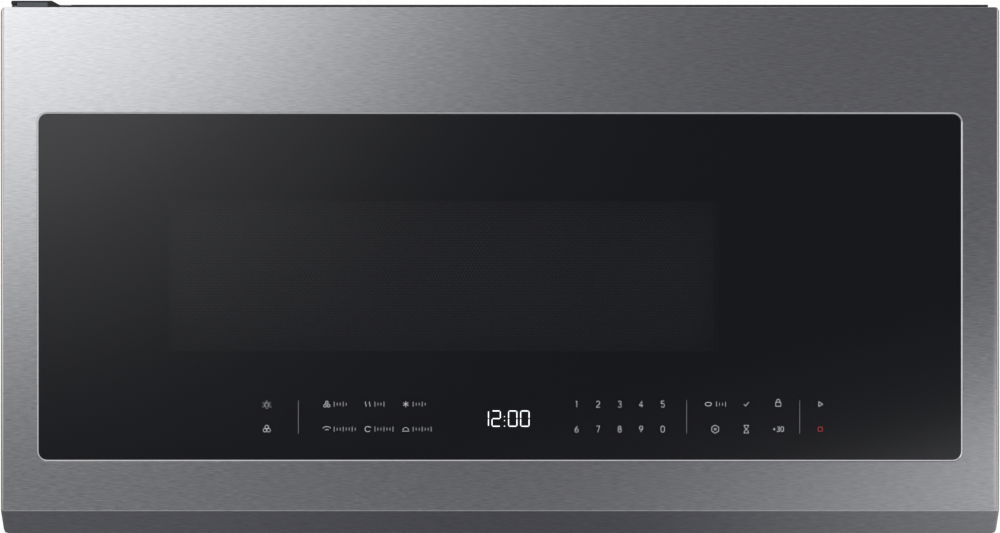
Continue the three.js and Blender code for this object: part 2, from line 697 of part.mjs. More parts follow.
function ovenLamp() {
  const lamp = join(
    rod('z', [0, 0], LAMP_RADIUS, 0, LAMP_HEIGHT / 3),
    rod('z', [0, 0], LAMP_RADIUS * 0.7, 0, LAMP_HEIGHT),
  );
  return groupAt([lampX, trayY, cavityRoof], piece('oven_lamp', lamp, WHITE_PLASTIC));
}

function powerBoard() {
  const posts = [];
  const half = POWER_BOARD_WIDTH / 2;
  const deep = POWER_BOARD_DEPTH / 2;
  for (const x of [-half + POWER_BOARD_POST, half - POWER_BOARD_POST]) {
    for (const y of [-deep + POWER_BOARD_POST, deep - POWER_BOARD_POST]) {
      posts.push(rod('z', [x, y], POWER_BOARD_POST / 2, 0, POWER_BOARD_POST + 0.5, 12));
    }
  }
  const top = POWER_BOARD_POST + BOARD;
  const onBoard = (x0, x1, y0, y1, height) => block([x0, x1], [y0, y1], [top - 0.5, top + height]);
  const board = join(
    block([-half, half], [-deep, deep], [POWER_BOARD_POST, top]),
    ...posts,
    onBoard(-half * 0.7, -half * 0.1, -deep * 0.6, deep * 0.2, POWER_COIL_HEIGHT),
    onBoard(half * 0.1, half * 0.4, -deep * 0.7, -deep * 0.2, POWER_RELAY_HEIGHT),
    onBoard(half * 0.55, half * 0.8, -deep * 0.7, deep * 0.6, POWER_PLUG_HEIGHT),
    onBoard(-half * 0.6, -half * 0.2, deep * 0.4, deep * 0.75, POWER_FUSE_HEIGHT),
  );
  const x = cavityLeft + POWER_BOARD_INSET + half;
  const y = innerFront + POWER_BOARD_INSET + deep;
  return groupAt([x, y, cavityRoof], piece('power_board', board, BOARD_GREEN));
}

// ---------------------------------------------------------------- turntable
// Heights here are from the oven floor and the axis is Z.
const rollerZ = ROLLER_RADIUS + SEAT;

function turntable() {
  const underside = rollerZ + ROLLER_RADIUS + SEAT;
  const below = -CAVITY_WALL - SEAT;
  const ear = TURNTABLE_MOTOR_RADIUS + MOTOR_EAR;
  const motor = cut(
    join(
      rod('z', [0, 0], TURNTABLE_MOTOR_RADIUS, below - TURNTABLE_MOTOR_HEIGHT, below),
      block([-ear, ear], [-MOTOR_EAR_WIDTH / 2, MOTOR_EAR_WIDTH / 2], [below - MOTOR_EAR_SHEET, below]),
    ),
    rod('z', [0, 0], COUPLER_SHAFT + RUNNING, below - TURNTABLE_MOTOR_HEIGHT * 0.7, 1),
  );
  return groupAt(
    [cavityX, trayY, cavityFloor],
    piece('turntable_motor', motor, ZINC),
    piece('turntable_coupler', couplerSolid(underside, below), WHITE_PLASTIC),
    piece('glass_tray', traySolid(underside), CLEAR_GLASS),
    ...rollerRing(),
  );
}

function couplerSolid(underside, below) {
  const top = underside - SEAT;
  const low = top - COUPLER_HEIGHT;
  let coupler = rod('z', [0, 0], COUPLER_SHAFT, below - TURNTABLE_MOTOR_HEIGHT * 0.6, top);
  coupler = coupler.add(rod('z', [0, 0], COUPLER_SHAFT * 1.6, low, top));
  for (let lobe = 0; lobe < 3; lobe += 1) {
    const arm = new THREE.BoxGeometry(COUPLER_LOBE, COUPLER_LOBE_WIDTH, COUPLER_HEIGHT);
    arm.translate(COUPLER_LOBE / 2, 0, low + COUPLER_HEIGHT / 2);
    coupler = coupler.add(solidOf(arm.rotateZ((lobe * 2 * Math.PI) / 3)));
  }
  return coupler;
}

function traySolid(underside) {
  const floor = underside + TRAY_GLASS;
  const rim = underside + TRAY_RIM;
  const inner = trayRadius - TRAY_RIM_WIDTH;
  let tray = turned([
    [0, underside], [inner - TRAY_RIM_WIDTH, underside], [trayRadius, rim - TRAY_GLASS / 2],
    [trayRadius, rim], [inner, rim], [inner - 1.5 * TRAY_RIM_WIDTH, floor], [0, floor],
  ], 2 * ROUND);
  for (let lug = 0; lug < 3; lug += 1) {
    const angle = ((2 * lug + 1) * Math.PI) / 3;
    const centre = [TRAY_LUG_CIRCLE * Math.cos(angle), TRAY_LUG_CIRCLE * Math.sin(angle)];
    const bottom = underside - TRAY_LUG_DEPTH;
    tray = tray.add(rod('z', centre, TRAY_LUG_RADIUS, bottom, underside + 1, 12));
  }
  return tray;
}

function rollerRing() {
  const inside = rollerCircle - ROLLER_WIDTH / 2 - SEAT - RING_SECTION;
  const outside = inside + RING_SECTION;
  const [low, high] = [rollerZ - RING_SECTION / 2, rollerZ + RING_SECTION / 2];
  const profile = [[inside, low], [outside, low], [outside, high], [inside, high], [inside, low]];
  let ring = turned(profile, 2 * ROUND);
  const rollers = [];
  for (let index = 0; index < ROLLER_COUNT; index += 1) {
    const angle = (index * 2 * Math.PI) / ROLLER_COUNT;
    const end = rollerCircle + ROLLER_WIDTH / 2 + SEAT;
    const axle = new THREE.CylinderGeometry(AXLE_RADIUS, AXLE_RADIUS, end - inside - 1, 16);
    axle.rotateZ(-Math.PI / 2).translate((end + inside + 1) / 2, 0, rollerZ).rotateZ(angle);
    ring = ring.add(solidOf(axle));
    const half = ROLLER_WIDTH / 2;
    const roller = piece(`roller_${index + 1}`, cut(
      rod('x', [0, 0], ROLLER_RADIUS, -half, half),
      rod('x', [0, 0], AXLE_RADIUS + RUNNING, -ROLLER_WIDTH, ROLLER_WIDTH, 16),
    ), WHITE_PLASTIC);
    const [c, s] = [Math.cos(angle), Math.sin(angle)];
    roller.position.set(rollerCircle * c, rollerCircle * s, rollerZ);
    roller.rotation.z = angle;
    rollers.push(roller);
  }
  return [piece('roller_ring', ring, GREY_PLASTIC), ...rollers];
}

// ------------------------------------------------------ magnetron compartment
function waveguide() {
  const half = WAVEGUIDE_WIDTH / 2;
  const tall = WAVEGUIDE_HEIGHT / 2;
  const wall = CHOKE_SHEET;
  const body = block([0, WAVEGUIDE_DEPTH], [-half, half], [-tall, tall]);
  const hollow = block(
    [-1, WAVEGUIDE_DEPTH - wall], [wall - half, half - wall], [wall - tall, tall - wall],
  );
  const hole = rod('x', [0, 0], ANTENNA_RADIUS + SWEEP, 0, WAVEGUIDE_DEPTH + wall);
  return groupAt([cavityFlank, trayY, waveguideZ], piece('waveguide', cut(body, hollow, hole), ZINC));
}

function waveguideCover() {
  const half = WAVEGUIDE_WIDTH / 2;
  const tall = WAVEGUIDE_HEIGHT / 2;
  const right = cavityRight - SEAT;
  const sheet = block(
    [right - MICA, right], [trayY - half, trayY + half], [waveguideZ - tall, waveguideZ + tall],
  );
  return piece('waveguide_cover', sheet, MICA_TAN);
}

function magnetron() {
  const wall = MAGNETRON_WALL;
  const length = MAGNETRON_LENGTH;
  const half = MAGNETRON_WIDTH / 2;
  const tall = MAGNETRON_HEIGHT / 2;
  let body = cut(
    block([0, length], [-half, half], [-tall, tall]),
    block([wall, length - wall], [-half - 1, half + 1], [wall - tall, tall - wall]),
  );
  body = body.add(rod('x', [0, 0], MAGNETRON_CORE, 0, length));
  const pitch = length / (MAGNETRON_FINS + 1);
  for (let fin = 1; fin <= MAGNETRON_FINS; fin += 1) {
    const x = fin * pitch;
    const span = [x - MAGNETRON_FIN / 2, x + MAGNETRON_FIN / 2];
    body = body.add(block(span, [2 * wall - half, half - 2 * wall], [-tall + 0.5, tall - 0.5]));
  }
  const filterBox = block(
    [length - 0.5, length + MAGNETRON_BOX], [-half * 0.7, half * 0.7], [-tall * 0.7, tall * 0.7],
  );
  body = join(body, filterBox, rod('x', [0, 0], ANTENNA_RADIUS, -ANTENNA_LENGTH, 1));
  const x = cavityFlank + WAVEGUIDE_DEPTH + SEAT;
  return groupAt([x, trayY, waveguideZ], piece('magnetron', body, ALUMINIUM));
}

function componentShelf() {
  const sheet = [shelfTop - SHELF_SHEET, shelfTop];
  return piece('component_shelf', block([cavityFlank, innerHalf], [innerFront, innerBack], sheet), ZINC);
}

function transformer() {
  const half = CORE_WIDTH / 2;
  const stack = CORE_STACK / 2;
  const slot = half - 2 * CORE_LIMB;
  const windows = [-1, 1].map((side) => {
    const span = [CORE_LIMB, CORE_LIMB + slot].map((y) => y * side).sort((a, b) => a - b);
    return block([-CORE_STACK, CORE_STACK], span, [CORE_LIMB, CORE_HEIGHT - CORE_LIMB]);
  });
  const core = cut(block([-stack, stack], [-half, half], [0, CORE_HEIGHT]), ...windows);
  const level = [CORE_LIMB + SEAT, CORE_HEIGHT - CORE_LIMB - SEAT];
  const innerY = CORE_LIMB + SEAT;
  const innerX = stack + SEAT;
  const outerX = innerX + WINDING_RADIAL;
  const outerY = innerY + slot - 1;
  const winding = cut(
    block([-outerX, outerX], [-outerY, outerY], level),
    block([-innerX, innerX], [-innerY, innerY], [0, CORE_HEIGHT]),
  );
  return groupAt(
    [compartmentX, fanY - CORE_SETBACK, shelfTop + SEAT],
    piece('transformer_core', core, STEEL),
    piece('transformer_winding', winding, COPPER),
  );
}

function capacitor() {
  const straight = (CAPACITOR_WIDTH - CAPACITOR_THICKNESS) / 2;
  const radius = CAPACITOR_THICKNESS / 2;
  const can = join(
    rod('z', [0, -straight], radius, 0, CAPACITOR_HEIGHT),
    rod('z', [0, straight], radius, 0, CAPACITOR_HEIGHT),
    block([-radius, radius], [-straight, straight], [0, CAPACITOR_HEIGHT]),
    rod('z', [0, -straight], TERMINAL, 0, CAPACITOR_HEIGHT + 4 * TERMINAL, 12),
    rod('z', [0, straight], TERMINAL, 0, CAPACITOR_HEIGHT + 4 * TERMINAL, 12),
  );
  const x = cavityFlank + SWEEP + radius;
  const y = innerFront + CAPACITOR_GAP + CAPACITOR_WIDTH / 2;
  return groupAt([x, y, shelfTop + SEAT], piece('hv_capacitor', can, ALUMINIUM));
}

// The fan turns about Y; its group stands at the shroud's front face on the fan's axis.
function coolingFan() {
  const ring = FAN_RADIUS + FAN_TIP_GAP;
  const low = shelfTop + SEAT;
  const axisZ = low + ring + FAN_MARGIN;
  const half = ring + FAN_MARGIN;
  const shroud = cut(
    block([-half, half], [0, FAN_SHROUD], [-ring - FAN_MARGIN, ring + FAN_MARGIN]),
    rod('y', [0, 0], ring, -1, FAN_SHROUD + 1, 2 * ROUND),
  );
  const bladeFront = -FAN_DEPTH / 2;
  const motorFront = FAN_DEPTH / 2 + 4;
  const motorBack = motorFront + FAN_MOTOR_DEPTH;
  const reach = ring + FAN_MARGIN / 2;
  const armSpan = [FAN_SHROUD + SEAT, motorFront + FAN_ARM];
  const motor = cut(
    join(
      block(
        [-FAN_MOTOR_WIDTH / 2, FAN_MOTOR_WIDTH / 2], [motorFront, motorBack],
        [-FAN_MOTOR_HEIGHT / 2, FAN_MOTOR_HEIGHT / 2],
      ),
      block([-FAN_ARM / 2, FAN_ARM / 2], [motorFront, motorFront + FAN_ARM], [-reach, reach]),
      block([-FAN_ARM / 2, FAN_ARM / 2], armSpan, [reach - FAN_MARGIN / 2, reach]),
      block([-FAN_ARM / 2, FAN_ARM / 2], armSpan, [-reach, FAN_MARGIN / 2 - reach]),
    ),
    rod('y', [0, 0], FAN_SHAFT + RUNNING, 0, motorBack - 6),
  );
  let rotor = join(
    rod('y', [0, 0], FAN_HUB, bladeFront, FAN_DEPTH / 2),
    rod('y', [0, 0], FAN_SHAFT, 0, motorBack - 8),
  );
  for (let index = 0; index < FAN_BLADES; index += 1) {
    const blade = new THREE.BoxGeometry(FAN_RADIUS - FAN_HUB + 4, FAN_BLADE, FAN_RADIUS * 0.45);
    blade.rotateX((FAN_PITCH * Math.PI) / 180);
    blade.translate((FAN_RADIUS + FAN_HUB - 4) / 2, 0, 0);
    rotor = rotor.add(solidOf(blade.rotateY((index * 2 * Math.PI) / FAN_BLADES)));
  }
  return groupAt(
    [compartmentX, fanY, axisZ],
    piece('cooling_fan_shroud', shroud, ZINC),
    piece('cooling_fan_motor', motor, STEEL),
    piece('cooling_fan', rotor, BLACK_PLASTIC),
  );
}

// ------------------------------------------------------------------- blower
// The blower turns about X; its group stands on that axis above the oven.
const scrollRadius = WHEEL_RADIUS + SCROLL_GAP + SCROLL_WALL;
const blowerZ = cavityRoof + scrollRadius;
const scrollStart = BLOWER_MOTOR_LENGTH / 2 + SWEEP;
const scrollLength = WHEEL_LENGTH + 2 * (SCROLL_GAP + SCROLL_WALL);

function blower() {
  const outlet = innerTop - blowerZ;
  const members = [];
  for (const [name, side] of [['left', -1], ['right', 1]]) {
    const scroll = piece(`blower_housing_${name}`, scrollSolid(outlet), ZINC);
    const wheel = piece(`blower_wheel_${name}`, wheelSolid(), WHITE_PLASTIC);
    scroll.position.x = side > 0 ? scrollStart : -scrollStart - scrollLength;
    wheel.position.x = scroll.position.x + SCROLL_WALL + SCROLL_GAP;
    members.push(scroll, wheel);
  }
  const shaftEnd = scrollStart + SCROLL_WALL + SCROLL_GAP + WHEEL_LENGTH;
  const shaft = rod('x', [0, 0], BLOWER_SHAFT, -shaftEnd, shaftEnd, 16);
  const motorHalf = BLOWER_MOTOR_LENGTH / 2;
  const footZ = cavityRoof - blowerZ;
  const motor = cut(
    join(
      rod('x', [0, 0], BLOWER_MOTOR_RADIUS, -motorHalf, motorHalf),
      block([-motorHalf, motorHalf], [-BLOWER_FOOT, BLOWER_FOOT], [footZ, -BLOWER_MOTOR_RADIUS / 2]),
    ),
    rod('x', [0, 0], BLOWER_SHAFT + RUNNING, -UNIT_WIDTH, UNIT_WIDTH, 16),
  );
  return groupAt(
    [0, blowerY, blowerZ],
    piece('blower_motor', motor, STEEL),
    piece('blower_shaft', shaft, STEEL),
    ...members,
  );
}

// A round scroll with a chute that rises from its front to the duct.
function scrollSolid(outlet) {
  const inner = scrollRadius - SCROLL_WALL;
  const wall = SCROLL_WALL;
  const body = join(
    rod('x', [0, 0], scrollRadius, 0, scrollLength),
    block([0, scrollLength], [-scrollRadius, 0], [0, outlet]),
  );
  return cut(
    body,
    rod('x', [0, 0], inner, wall, scrollLength - wall),
    block([wall, scrollLength - wall], [-inner, -wall], [0, outlet + 1]),
    rod('x', [0, 0], SCROLL_INLET, -1, scrollLength + 1),
  );
}

// A squirrel-cage wheel: an end disc on the shaft, blades, and a rim at the far end.
function wheelSolid() {
  const bore = rod('x', [0, 0], BLOWER_SHAFT + SEAT, -1, WHEEL_LENGTH + 1, 16);
  const inner = rod('x', [0, 0], WHEEL_RADIUS - WHEEL_BLADE, -1, WHEEL_LENGTH + 1);
  const middle = WHEEL_LENGTH / 2;
  const rim = (start) => cut(rod('x', [0, 0], WHEEL_RADIUS, start, start + WHEEL_DISC), inner);
  const disc = rod('x', [0, 0], WHEEL_RADIUS, middle - WHEEL_DISC / 2, middle + WHEEL_DISC / 2);
  const hub = rod('x', [0, 0], BLOWER_SHAFT * 2, middle - 2 * WHEEL_DISC, middle + 2 * WHEEL_DISC);
  let wheel = join(disc, hub, rim(0), rim(WHEEL_LENGTH - WHEEL_DISC));
  for (let index = 0; index < WHEEL_BLADES; index += 1) {
    const blade = new THREE.BoxGeometry(WHEEL_LENGTH - WHEEL_DISC, WHEEL_BLADE_SHEET, WHEEL_BLADE - 1);
    blade.rotateX(0.5).translate(middle, 0, WHEEL_RADIUS - WHEEL_BLADE / 2);
    wheel = wheel.add(solidOf(blade.rotateX((index * 2 * Math.PI) / WHEEL_BLADES)));
  }
  return cut(wheel, bore);
}

// The duct stands on the top plate; heights here are from its underside.
function ductCollar() {
  const [half, deep] = [DUCT_WIDTH / 2, DUCT_DEPTH / 2];
  const sheet = DUCT_WALL;
  const lip = half - sheet - DUCT_LEDGE;
  const lipDeep = deep - sheet - DUCT_LEDGE;
  const hingeY = deep - sheet - SEAT - 2 * DAMPER_PIN;
  const hingeZ = sheet + SEAT + DAMPER_PIN;
  const around = (x, y, z0, z1) => block([-x, x], [-y, y], [z0, z1]);
  const collar = cut(
    join(around(half, deep, 0, DUCT_HEIGHT), around(half + DUCT_FLANGE, deep + DUCT_FLANGE, 0, sheet)),
    around(half - sheet, deep - sheet, sheet, DUCT_HEIGHT + 1),
    around(lip, lipDeep, -1, sheet + 1),
    rod('x', [hingeY, hingeZ], DAMPER_PIN + RUNNING, -half - 1, half + 1, 12),
  );
  const flapHalf = half - sheet - HANGING;
  const flapLow = sheet + SEAT;
  const flap = join(
    block([-flapHalf, flapHalf], [HANGING + sheet - deep, hingeY], [flapLow, flapLow + DAMPER_SHEET]),
    rod('x', [hingeY, hingeZ], DAMPER_PIN, -half, half, 12),
  );
  return groupAt(
    [0, blowerY, bodyTop + SEAT],
    piece('duct_collar', collar, ZINC),
    piece('damper_flap', flap, ALUMINIUM),
  );
}

// ---------------------------------------------------------------- underside
function greaseFilter(name, side) {
  const half = GREASE_WIDTH / 2;
  const deep = GREASE_DEPTH / 2;
  const recess = (z0, z1) => block(
    [GREASE_RIM - half, half - GREASE_RIM], [GREASE_RIM - deep, deep - GREASE_RIM], [z0, z1],
  );
  const filter = cut(
    block([-half, half], [-deep, deep], [0, GREASE_THICKNESS]),
    recess(-1, GREASE_RECESS),
    recess(GREASE_THICKNESS - GREASE_RECESS, GREASE_THICKNESS + 1),
  );
  return groupAt([side * greaseX, greaseY, bodyBottom], piece(name, filter, ALUMINIUM));
}

function lampLens(name, side) {
  const half = LENS_WIDTH / 2;
  const deep = LENS_DEPTH / 2;
  const flange = 4;
  const lens = join(
    block([-half, half], [-deep, deep], [0, LENS_THICKNESS]),
    block(
      [-half - flange, half + flange], [-deep - flange, deep + flange],
      [SHEET + SEAT, LENS_THICKNESS],
    ),
  );
  return groupAt([side * lensX, lensY, bodyBottom], piece(name, lens, CLEAR_GLASS));
}

// --------------------------------------------------------------------- door
// The folded skin: a shallow box, open at the back, with a finger pull along its foot.
function doorPanel() {
  const half = doorHalf;
  const corner = DOOR_CORNER;
  const shell = frontPanel(
    roundedRectangle([-half, half], [doorFloor, doorTop], [0, 0, corner, corner]),
    [doorFront, doorBack],
  );
  const within = frontPanel(
    roundedRectangle(
      [SKIN - half, half - SKIN], [doorFloor + SKIN, doorTop - SKIN],
      [0, 0, corner - SKIN, corner - SKIN],
    ),
    [doorFront + SKIN, doorBack + 1],
  );
  const lip = section(outline([
    [doorFront, doorFloor + SKIN], [doorFront, bendZ], [doorFront + LIP_DEPTH, lipBottom],
    [lipBack, lipBottom], [lipBack, doorFloor + SKIN],
  ]), [-half, half]);
  const lipHollow = section(outline([
    [doorFront + SKIN, doorFloor + 2 * SKIN], [doorFront + SKIN, bendZ + SKIN / 2],
    [lipBack - 2 * SKIN, lipBottom + 2 * SKIN], [lipBack - SKIN, lipBottom + 2 * SKIN],
    [lipBack - SKIN, doorFloor + 2 * SKIN],
  ]), [SKIN - half, half - SKIN]);
  const opening = frontPanel(
    roundedRectangle([-windowHalf, windowHalf], [windowBottom, windowTop], WINDOW_CORNER),
    [doorFront - 1, doorFront + 2 * SKIN],
  );
  const pinHole = rod('z', [pivotX, pivotY], PIN_RADIUS + RUNNING, doorFloor - 1, doorTop + 1);
  const silhouette = frontPanel(
    roundedRectangle([-half, half], [lipBottom, doorTop], [LIP_CORNER, LIP_CORNER, corner, corner]),
    [doorFront, doorBack],
  );
  const solid = cut(join(shell, lip).intersect(silhouette), within, lipHollow, opening, pinHole);
  return piece('door_panel', solid, STAINLESS);
}

// Outline inside the window opening, drawn in by a margin.
function windowOutline(margin) {
  return roundedRectangle(
    [margin - windowHalf, windowHalf - margin], [windowBottom + margin, windowTop - margin],
    WINDOW_CORNER - margin,
  );
}

function windowTrim() {
  const span = [doorFront - TRIM_PROUD, doorFront - TRIM_PROUD + TRIM_DEPTH];
  const trim = cut(
    frontPanel(windowOutline(TRIM_GROOVE), span),
    frontPanel(windowOutline(TRIM_GROOVE + TRIM_WIDTH), [span[0] - 1, span[1] + 1]),
  );
  return piece('window_trim', trim, POLISHED);
}

function doorGlass() {
  const shape = windowOutline(TRIM_GROOVE + TRIM_WIDTH + SEAT);
  return piece('door_glass', frontPanel(shape, [glassFront, glassBack]), BLACK_GLASS);
}

const frameFront = glassBack + SEAT;
const frameHalf = doorHalf - SKIN - SEAT;
const frameBottom = doorFloor + SKIN + HINGE_BLOCK + 2 * SEAT;
const frameTop = doorTop - SKIN - HINGE_BLOCK - 2 * SEAT;
const screenFront = doorFront + SCREEN_DEPTH;
const innerCorner = DOOR_CORNER - SKIN - SEAT; // of what fits inside the skin's upper corners

// The tray that backs the glass, open where the screen and the touch panel show.
function doorInnerFrame() {
  const wall = INNER_FRAME_WALL;
  const through = [frameFront - 1, frameFront + 2 * wall];
  const frame = cut(
    block([-frameHalf, frameHalf], [frameFront, coverFace - SEAT], [frameBottom, frameTop]),
    block(
      [wall - frameHalf, frameHalf - wall], [frameFront + wall, coverFace + 1],
      [frameBottom + wall, frameTop - wall],
    ),
    block(screenX, through, screenZ),
    block(panelX, through, panelZ),
  );
  return piece('door_inner_frame', frame, BLACK_PLASTIC);
}

// The steel pan that closes the oven mouth, with a short tunnel behind the screen.
function doorChoke() {
  const sheet = CHOKE_SHEET;
  const back = bodyFront - CHOKE_GAP;
  const spanX = [cavityLeft - CHOKE_LAP, cavityRight + CHOKE_LAP];
  const spanZ = [cavityFloor - CHOKE_LAP, cavityTop + CHOKE_LAP];
  const front = frameFront + INNER_FRAME_WALL + SEAT;
  const pan = cut(
    block(spanX, [front, back], spanZ),
    block([spanX[0] + sheet, spanX[1] - sheet], [front - 1, back - sheet],
      [spanZ[0] + sheet, spanZ[1] - sheet]),
  );
  const tunnelFront = screenFront + SCREEN_SHEET + SEAT;
  const tunnel = block(
    [screenX[0] - sheet, screenX[1] + sheet], [tunnelFront, back],
    [screenZ[0] - sheet, screenZ[1] + sheet],
  );
  const bore = block(screenX, [front, back + 1], screenZ);
  return piece('door_choke', cut(join(pan, tunnel), bore), DARK_PAINT);
}

function doorScreen() {
  const lap = SCREEN_LAP;
  const sheet = block(
    [screenX[0] - lap, screenX[1] + lap], [screenFront, screenFront + SCREEN_SHEET],
    [screenZ[0] - lap, screenZ[1] + lap],
  );
  return piece('door_screen', sheet, DARK_PAINT);
}

function doorInnerWindow() {
  const back = bodyFront - CHOKE_GAP;
  const pane = block(
    [screenX[0] + SEAT, screenX[1] - SEAT], [back - INNER_PANE, back],
    [screenZ[0] + SEAT, screenZ[1] - SEAT],
  );
  return piece('door_inner_window', pane, CLEAR_GLASS);
}

// The ring that closes the back of the door round the choke.
function doorBackCover() {
  const through = [coverFace - 1, doorBack + 1];
  const gap = SEAT;
  const shape = roundedRectangle(
    [-frameHalf, frameHalf], [doorFloor + SKIN + gap, doorTop - SKIN - gap],
    [0, 0, innerCorner, innerCorner],
  );
  let cover = cut(
    frontPanel(shape, [coverFace, doorBack]),
    block(
      [cavityLeft - CHOKE_LAP - gap, cavityRight + CHOKE_LAP + gap], through,
      [cavityFloor - CHOKE_LAP - gap, cavityTop + CHOKE_LAP + gap],
    ),
  );
  for (const z of hookZs) cover = cut(cover, hookPath(z, through, 1));
  const lugZ = KEY_LENGTH / 2 + SPRING_LENGTH + 2 * SEAT;
  const lug = block(
    [keyX - KEY_WIDTH / 2, keyX + KEY_WIDTH / 2], [coverFace - KEY_THICKNESS, coverFace + 1],
    [lugZ, lugZ + LUG],
  );
  return piece('door_back_cover', cover.add(lug), BLACK_PLASTIC);
}

function displayModule() {
  const front = glassBack + SEAT;
  const half = DISPLAY_WIDTH / 2;
  const tall = DISPLAY_HEIGHT / 2;
  const body = block(
    [DISPLAY_OFFSET - half, DISPLAY_OFFSET + half], [front, front + DISPLAY_DEPTH],
    [displayZ - tall, displayZ + tall],
  );
  return piece('display_module', body, BLACK_PLASTIC);
}

function controlBoard() {
  const front = glassBack + 2 * SEAT + DISPLAY_DEPTH;
  const back = front + BOARD;
  const level = (panelZ[0] + panelZ[1]) / 2;
  let board = block(panelX, [front, back], panelZ);
  for (const x of [panelX[0] + CHIP, panelX[0] + 4 * CHIP, panelX[1] - 3 * CHIP]) {
    board = board.add(block([x, x + CHIP], [back - 0.5, back + CHIP_HEIGHT], [level, level + CHIP]));
  }
  return piece('control_board', board, BOARD_GREEN);
}

function hingeBlock(name, z, corner) {
  const front = pivotY - HINGE_BLOCK_DEPTH / 2;
  const shape = roundedRectangle(
    [-frameHalf, HINGE_BLOCK_WIDTH - frameHalf], [z, z + HINGE_BLOCK], [0, 0, 0, corner],
  );
  const body = cut(
    frontPanel(shape, [front, coverFace - SEAT]),
    rod('z', [pivotX, pivotY], PIN_RADIUS + RUNNING, z - 1, z + HINGE_BLOCK + 1),
  );
  return piece(name, body, WHITE_PLASTIC);
}

// The sliding key: a bar with two hooks that reach through the cabinet front.
function doorKey() {
  const back = coverFace - SEAT;
  const half = KEY_WIDTH / 2;
  let key = block(
    [keyX - half, keyX + half], [back - KEY_THICKNESS, back], [-KEY_LENGTH / 2, KEY_LENGTH / 2],
  );
  for (const z of hookZs) {
    const low = z - KEY_HOOK_HEIGHT / 2;
    const high = z + KEY_HOOK_HEIGHT / 2;
    const hook = section(outline([
      [back - 1, low], [hookTip - 2 * KEY_BARB, low], [hookTip - 2 * KEY_BARB, low - KEY_BARB],
      [hookTip - KEY_BARB, low - KEY_BARB], [hookTip, low + KEY_BARB], [hookTip, high],
      [back - 1, high],
    ]), [keyX - KEY_HOOK_THICKNESS / 2, keyX + KEY_HOOK_THICKNESS / 2]);
    key = key.add(hook);
  }
  return piece('door_key', key, WHITE_PLASTIC);
}

class Helix extends THREE.Curve {
  getPoint(t) {
    const angle = 2 * Math.PI * SPRING_TURNS * t;
    const height = SPRING_WIRE + t * (SPRING_LENGTH - 2 * SPRING_WIRE);
    return new THREE.Vector3(SPRING_RADIUS * Math.cos(angle), SPRING_RADIUS * Math.sin(angle), height);
  }
}

function keySpring() {
  const wire = new THREE.Shape();
  wire.absarc(0, 0, SPRING_WIRE, 0, 2 * Math.PI);
  const geometry = new THREE.ExtrudeGeometry(wire, {
    steps: 9 * SPRING_TURNS, bevelEnabled: false, extrudePath: new Helix(), curveSegments: 3,
  });
  const y = coverFace - SEAT - KEY_THICKNESS / 2;
  const z = KEY_LENGTH / 2 + SEAT;
  return groupAt([keyX, y, z], piece('door_key_spring', solidOf(geometry), STEEL));
}

// ----------------------------------------------------------------- assembly
const cabinet = new THREE.Group();
cabinet.add(
  wallPlate(),
  rearPlate(),
  sidePanel('side_panel_left', -1),
  sidePanel('side_panel_right', 1),
  topPlate(),
  basePlate(),
  frontFrame(),
  ventGrille(),
  charcoalFilter(),
  cordGland(),
  hingeBracketUpper(),
  hingeBracketLower(),
  hingeCover(),
  latchBody(),
  lampLens('cooktop_lamp_lens_left', -1),
  lampLens('cooktop_lamp_lens_right', 1),
  greaseFilter('grease_filter_left', -1),
  greaseFilter('grease_filter_right', 1),
);

const oven = new THREE.Group();
oven.add(
  ovenCavity(),
  ovenLamp(),
  powerBoard(),
  turntable(),
  waveguide(),
  waveguideCover(),
  magnetron(),
  componentShelf(),
  transformer(),
  capacitor(),
  coolingFan(),
);

const ventilation = new THREE.Group();
ventilation.add(blower(), ductCollar());

const door = new THREE.Group();
door.add(
  doorPanel(),
  windowTrim(),
  doorGlass(),
  doorInnerFrame(),
  doorChoke(),
  doorScreen(),
  doorInnerWindow(),
  doorBackCover(),
  displayModule(),
  controlBoard(),
  hingeBlock('door_hinge_block_upper', doorTop - SKIN - SEAT - HINGE_BLOCK, innerCorner),
  hingeBlock('door_hinge_block_lower', doorFloor + SKIN + SEAT, 0),
  doorKey(),
  keySpring(),
);

const microwave = new THREE.Group();
microwave.add(cabinet, oven, ventilation, door);

export default microwave;
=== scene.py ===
import math

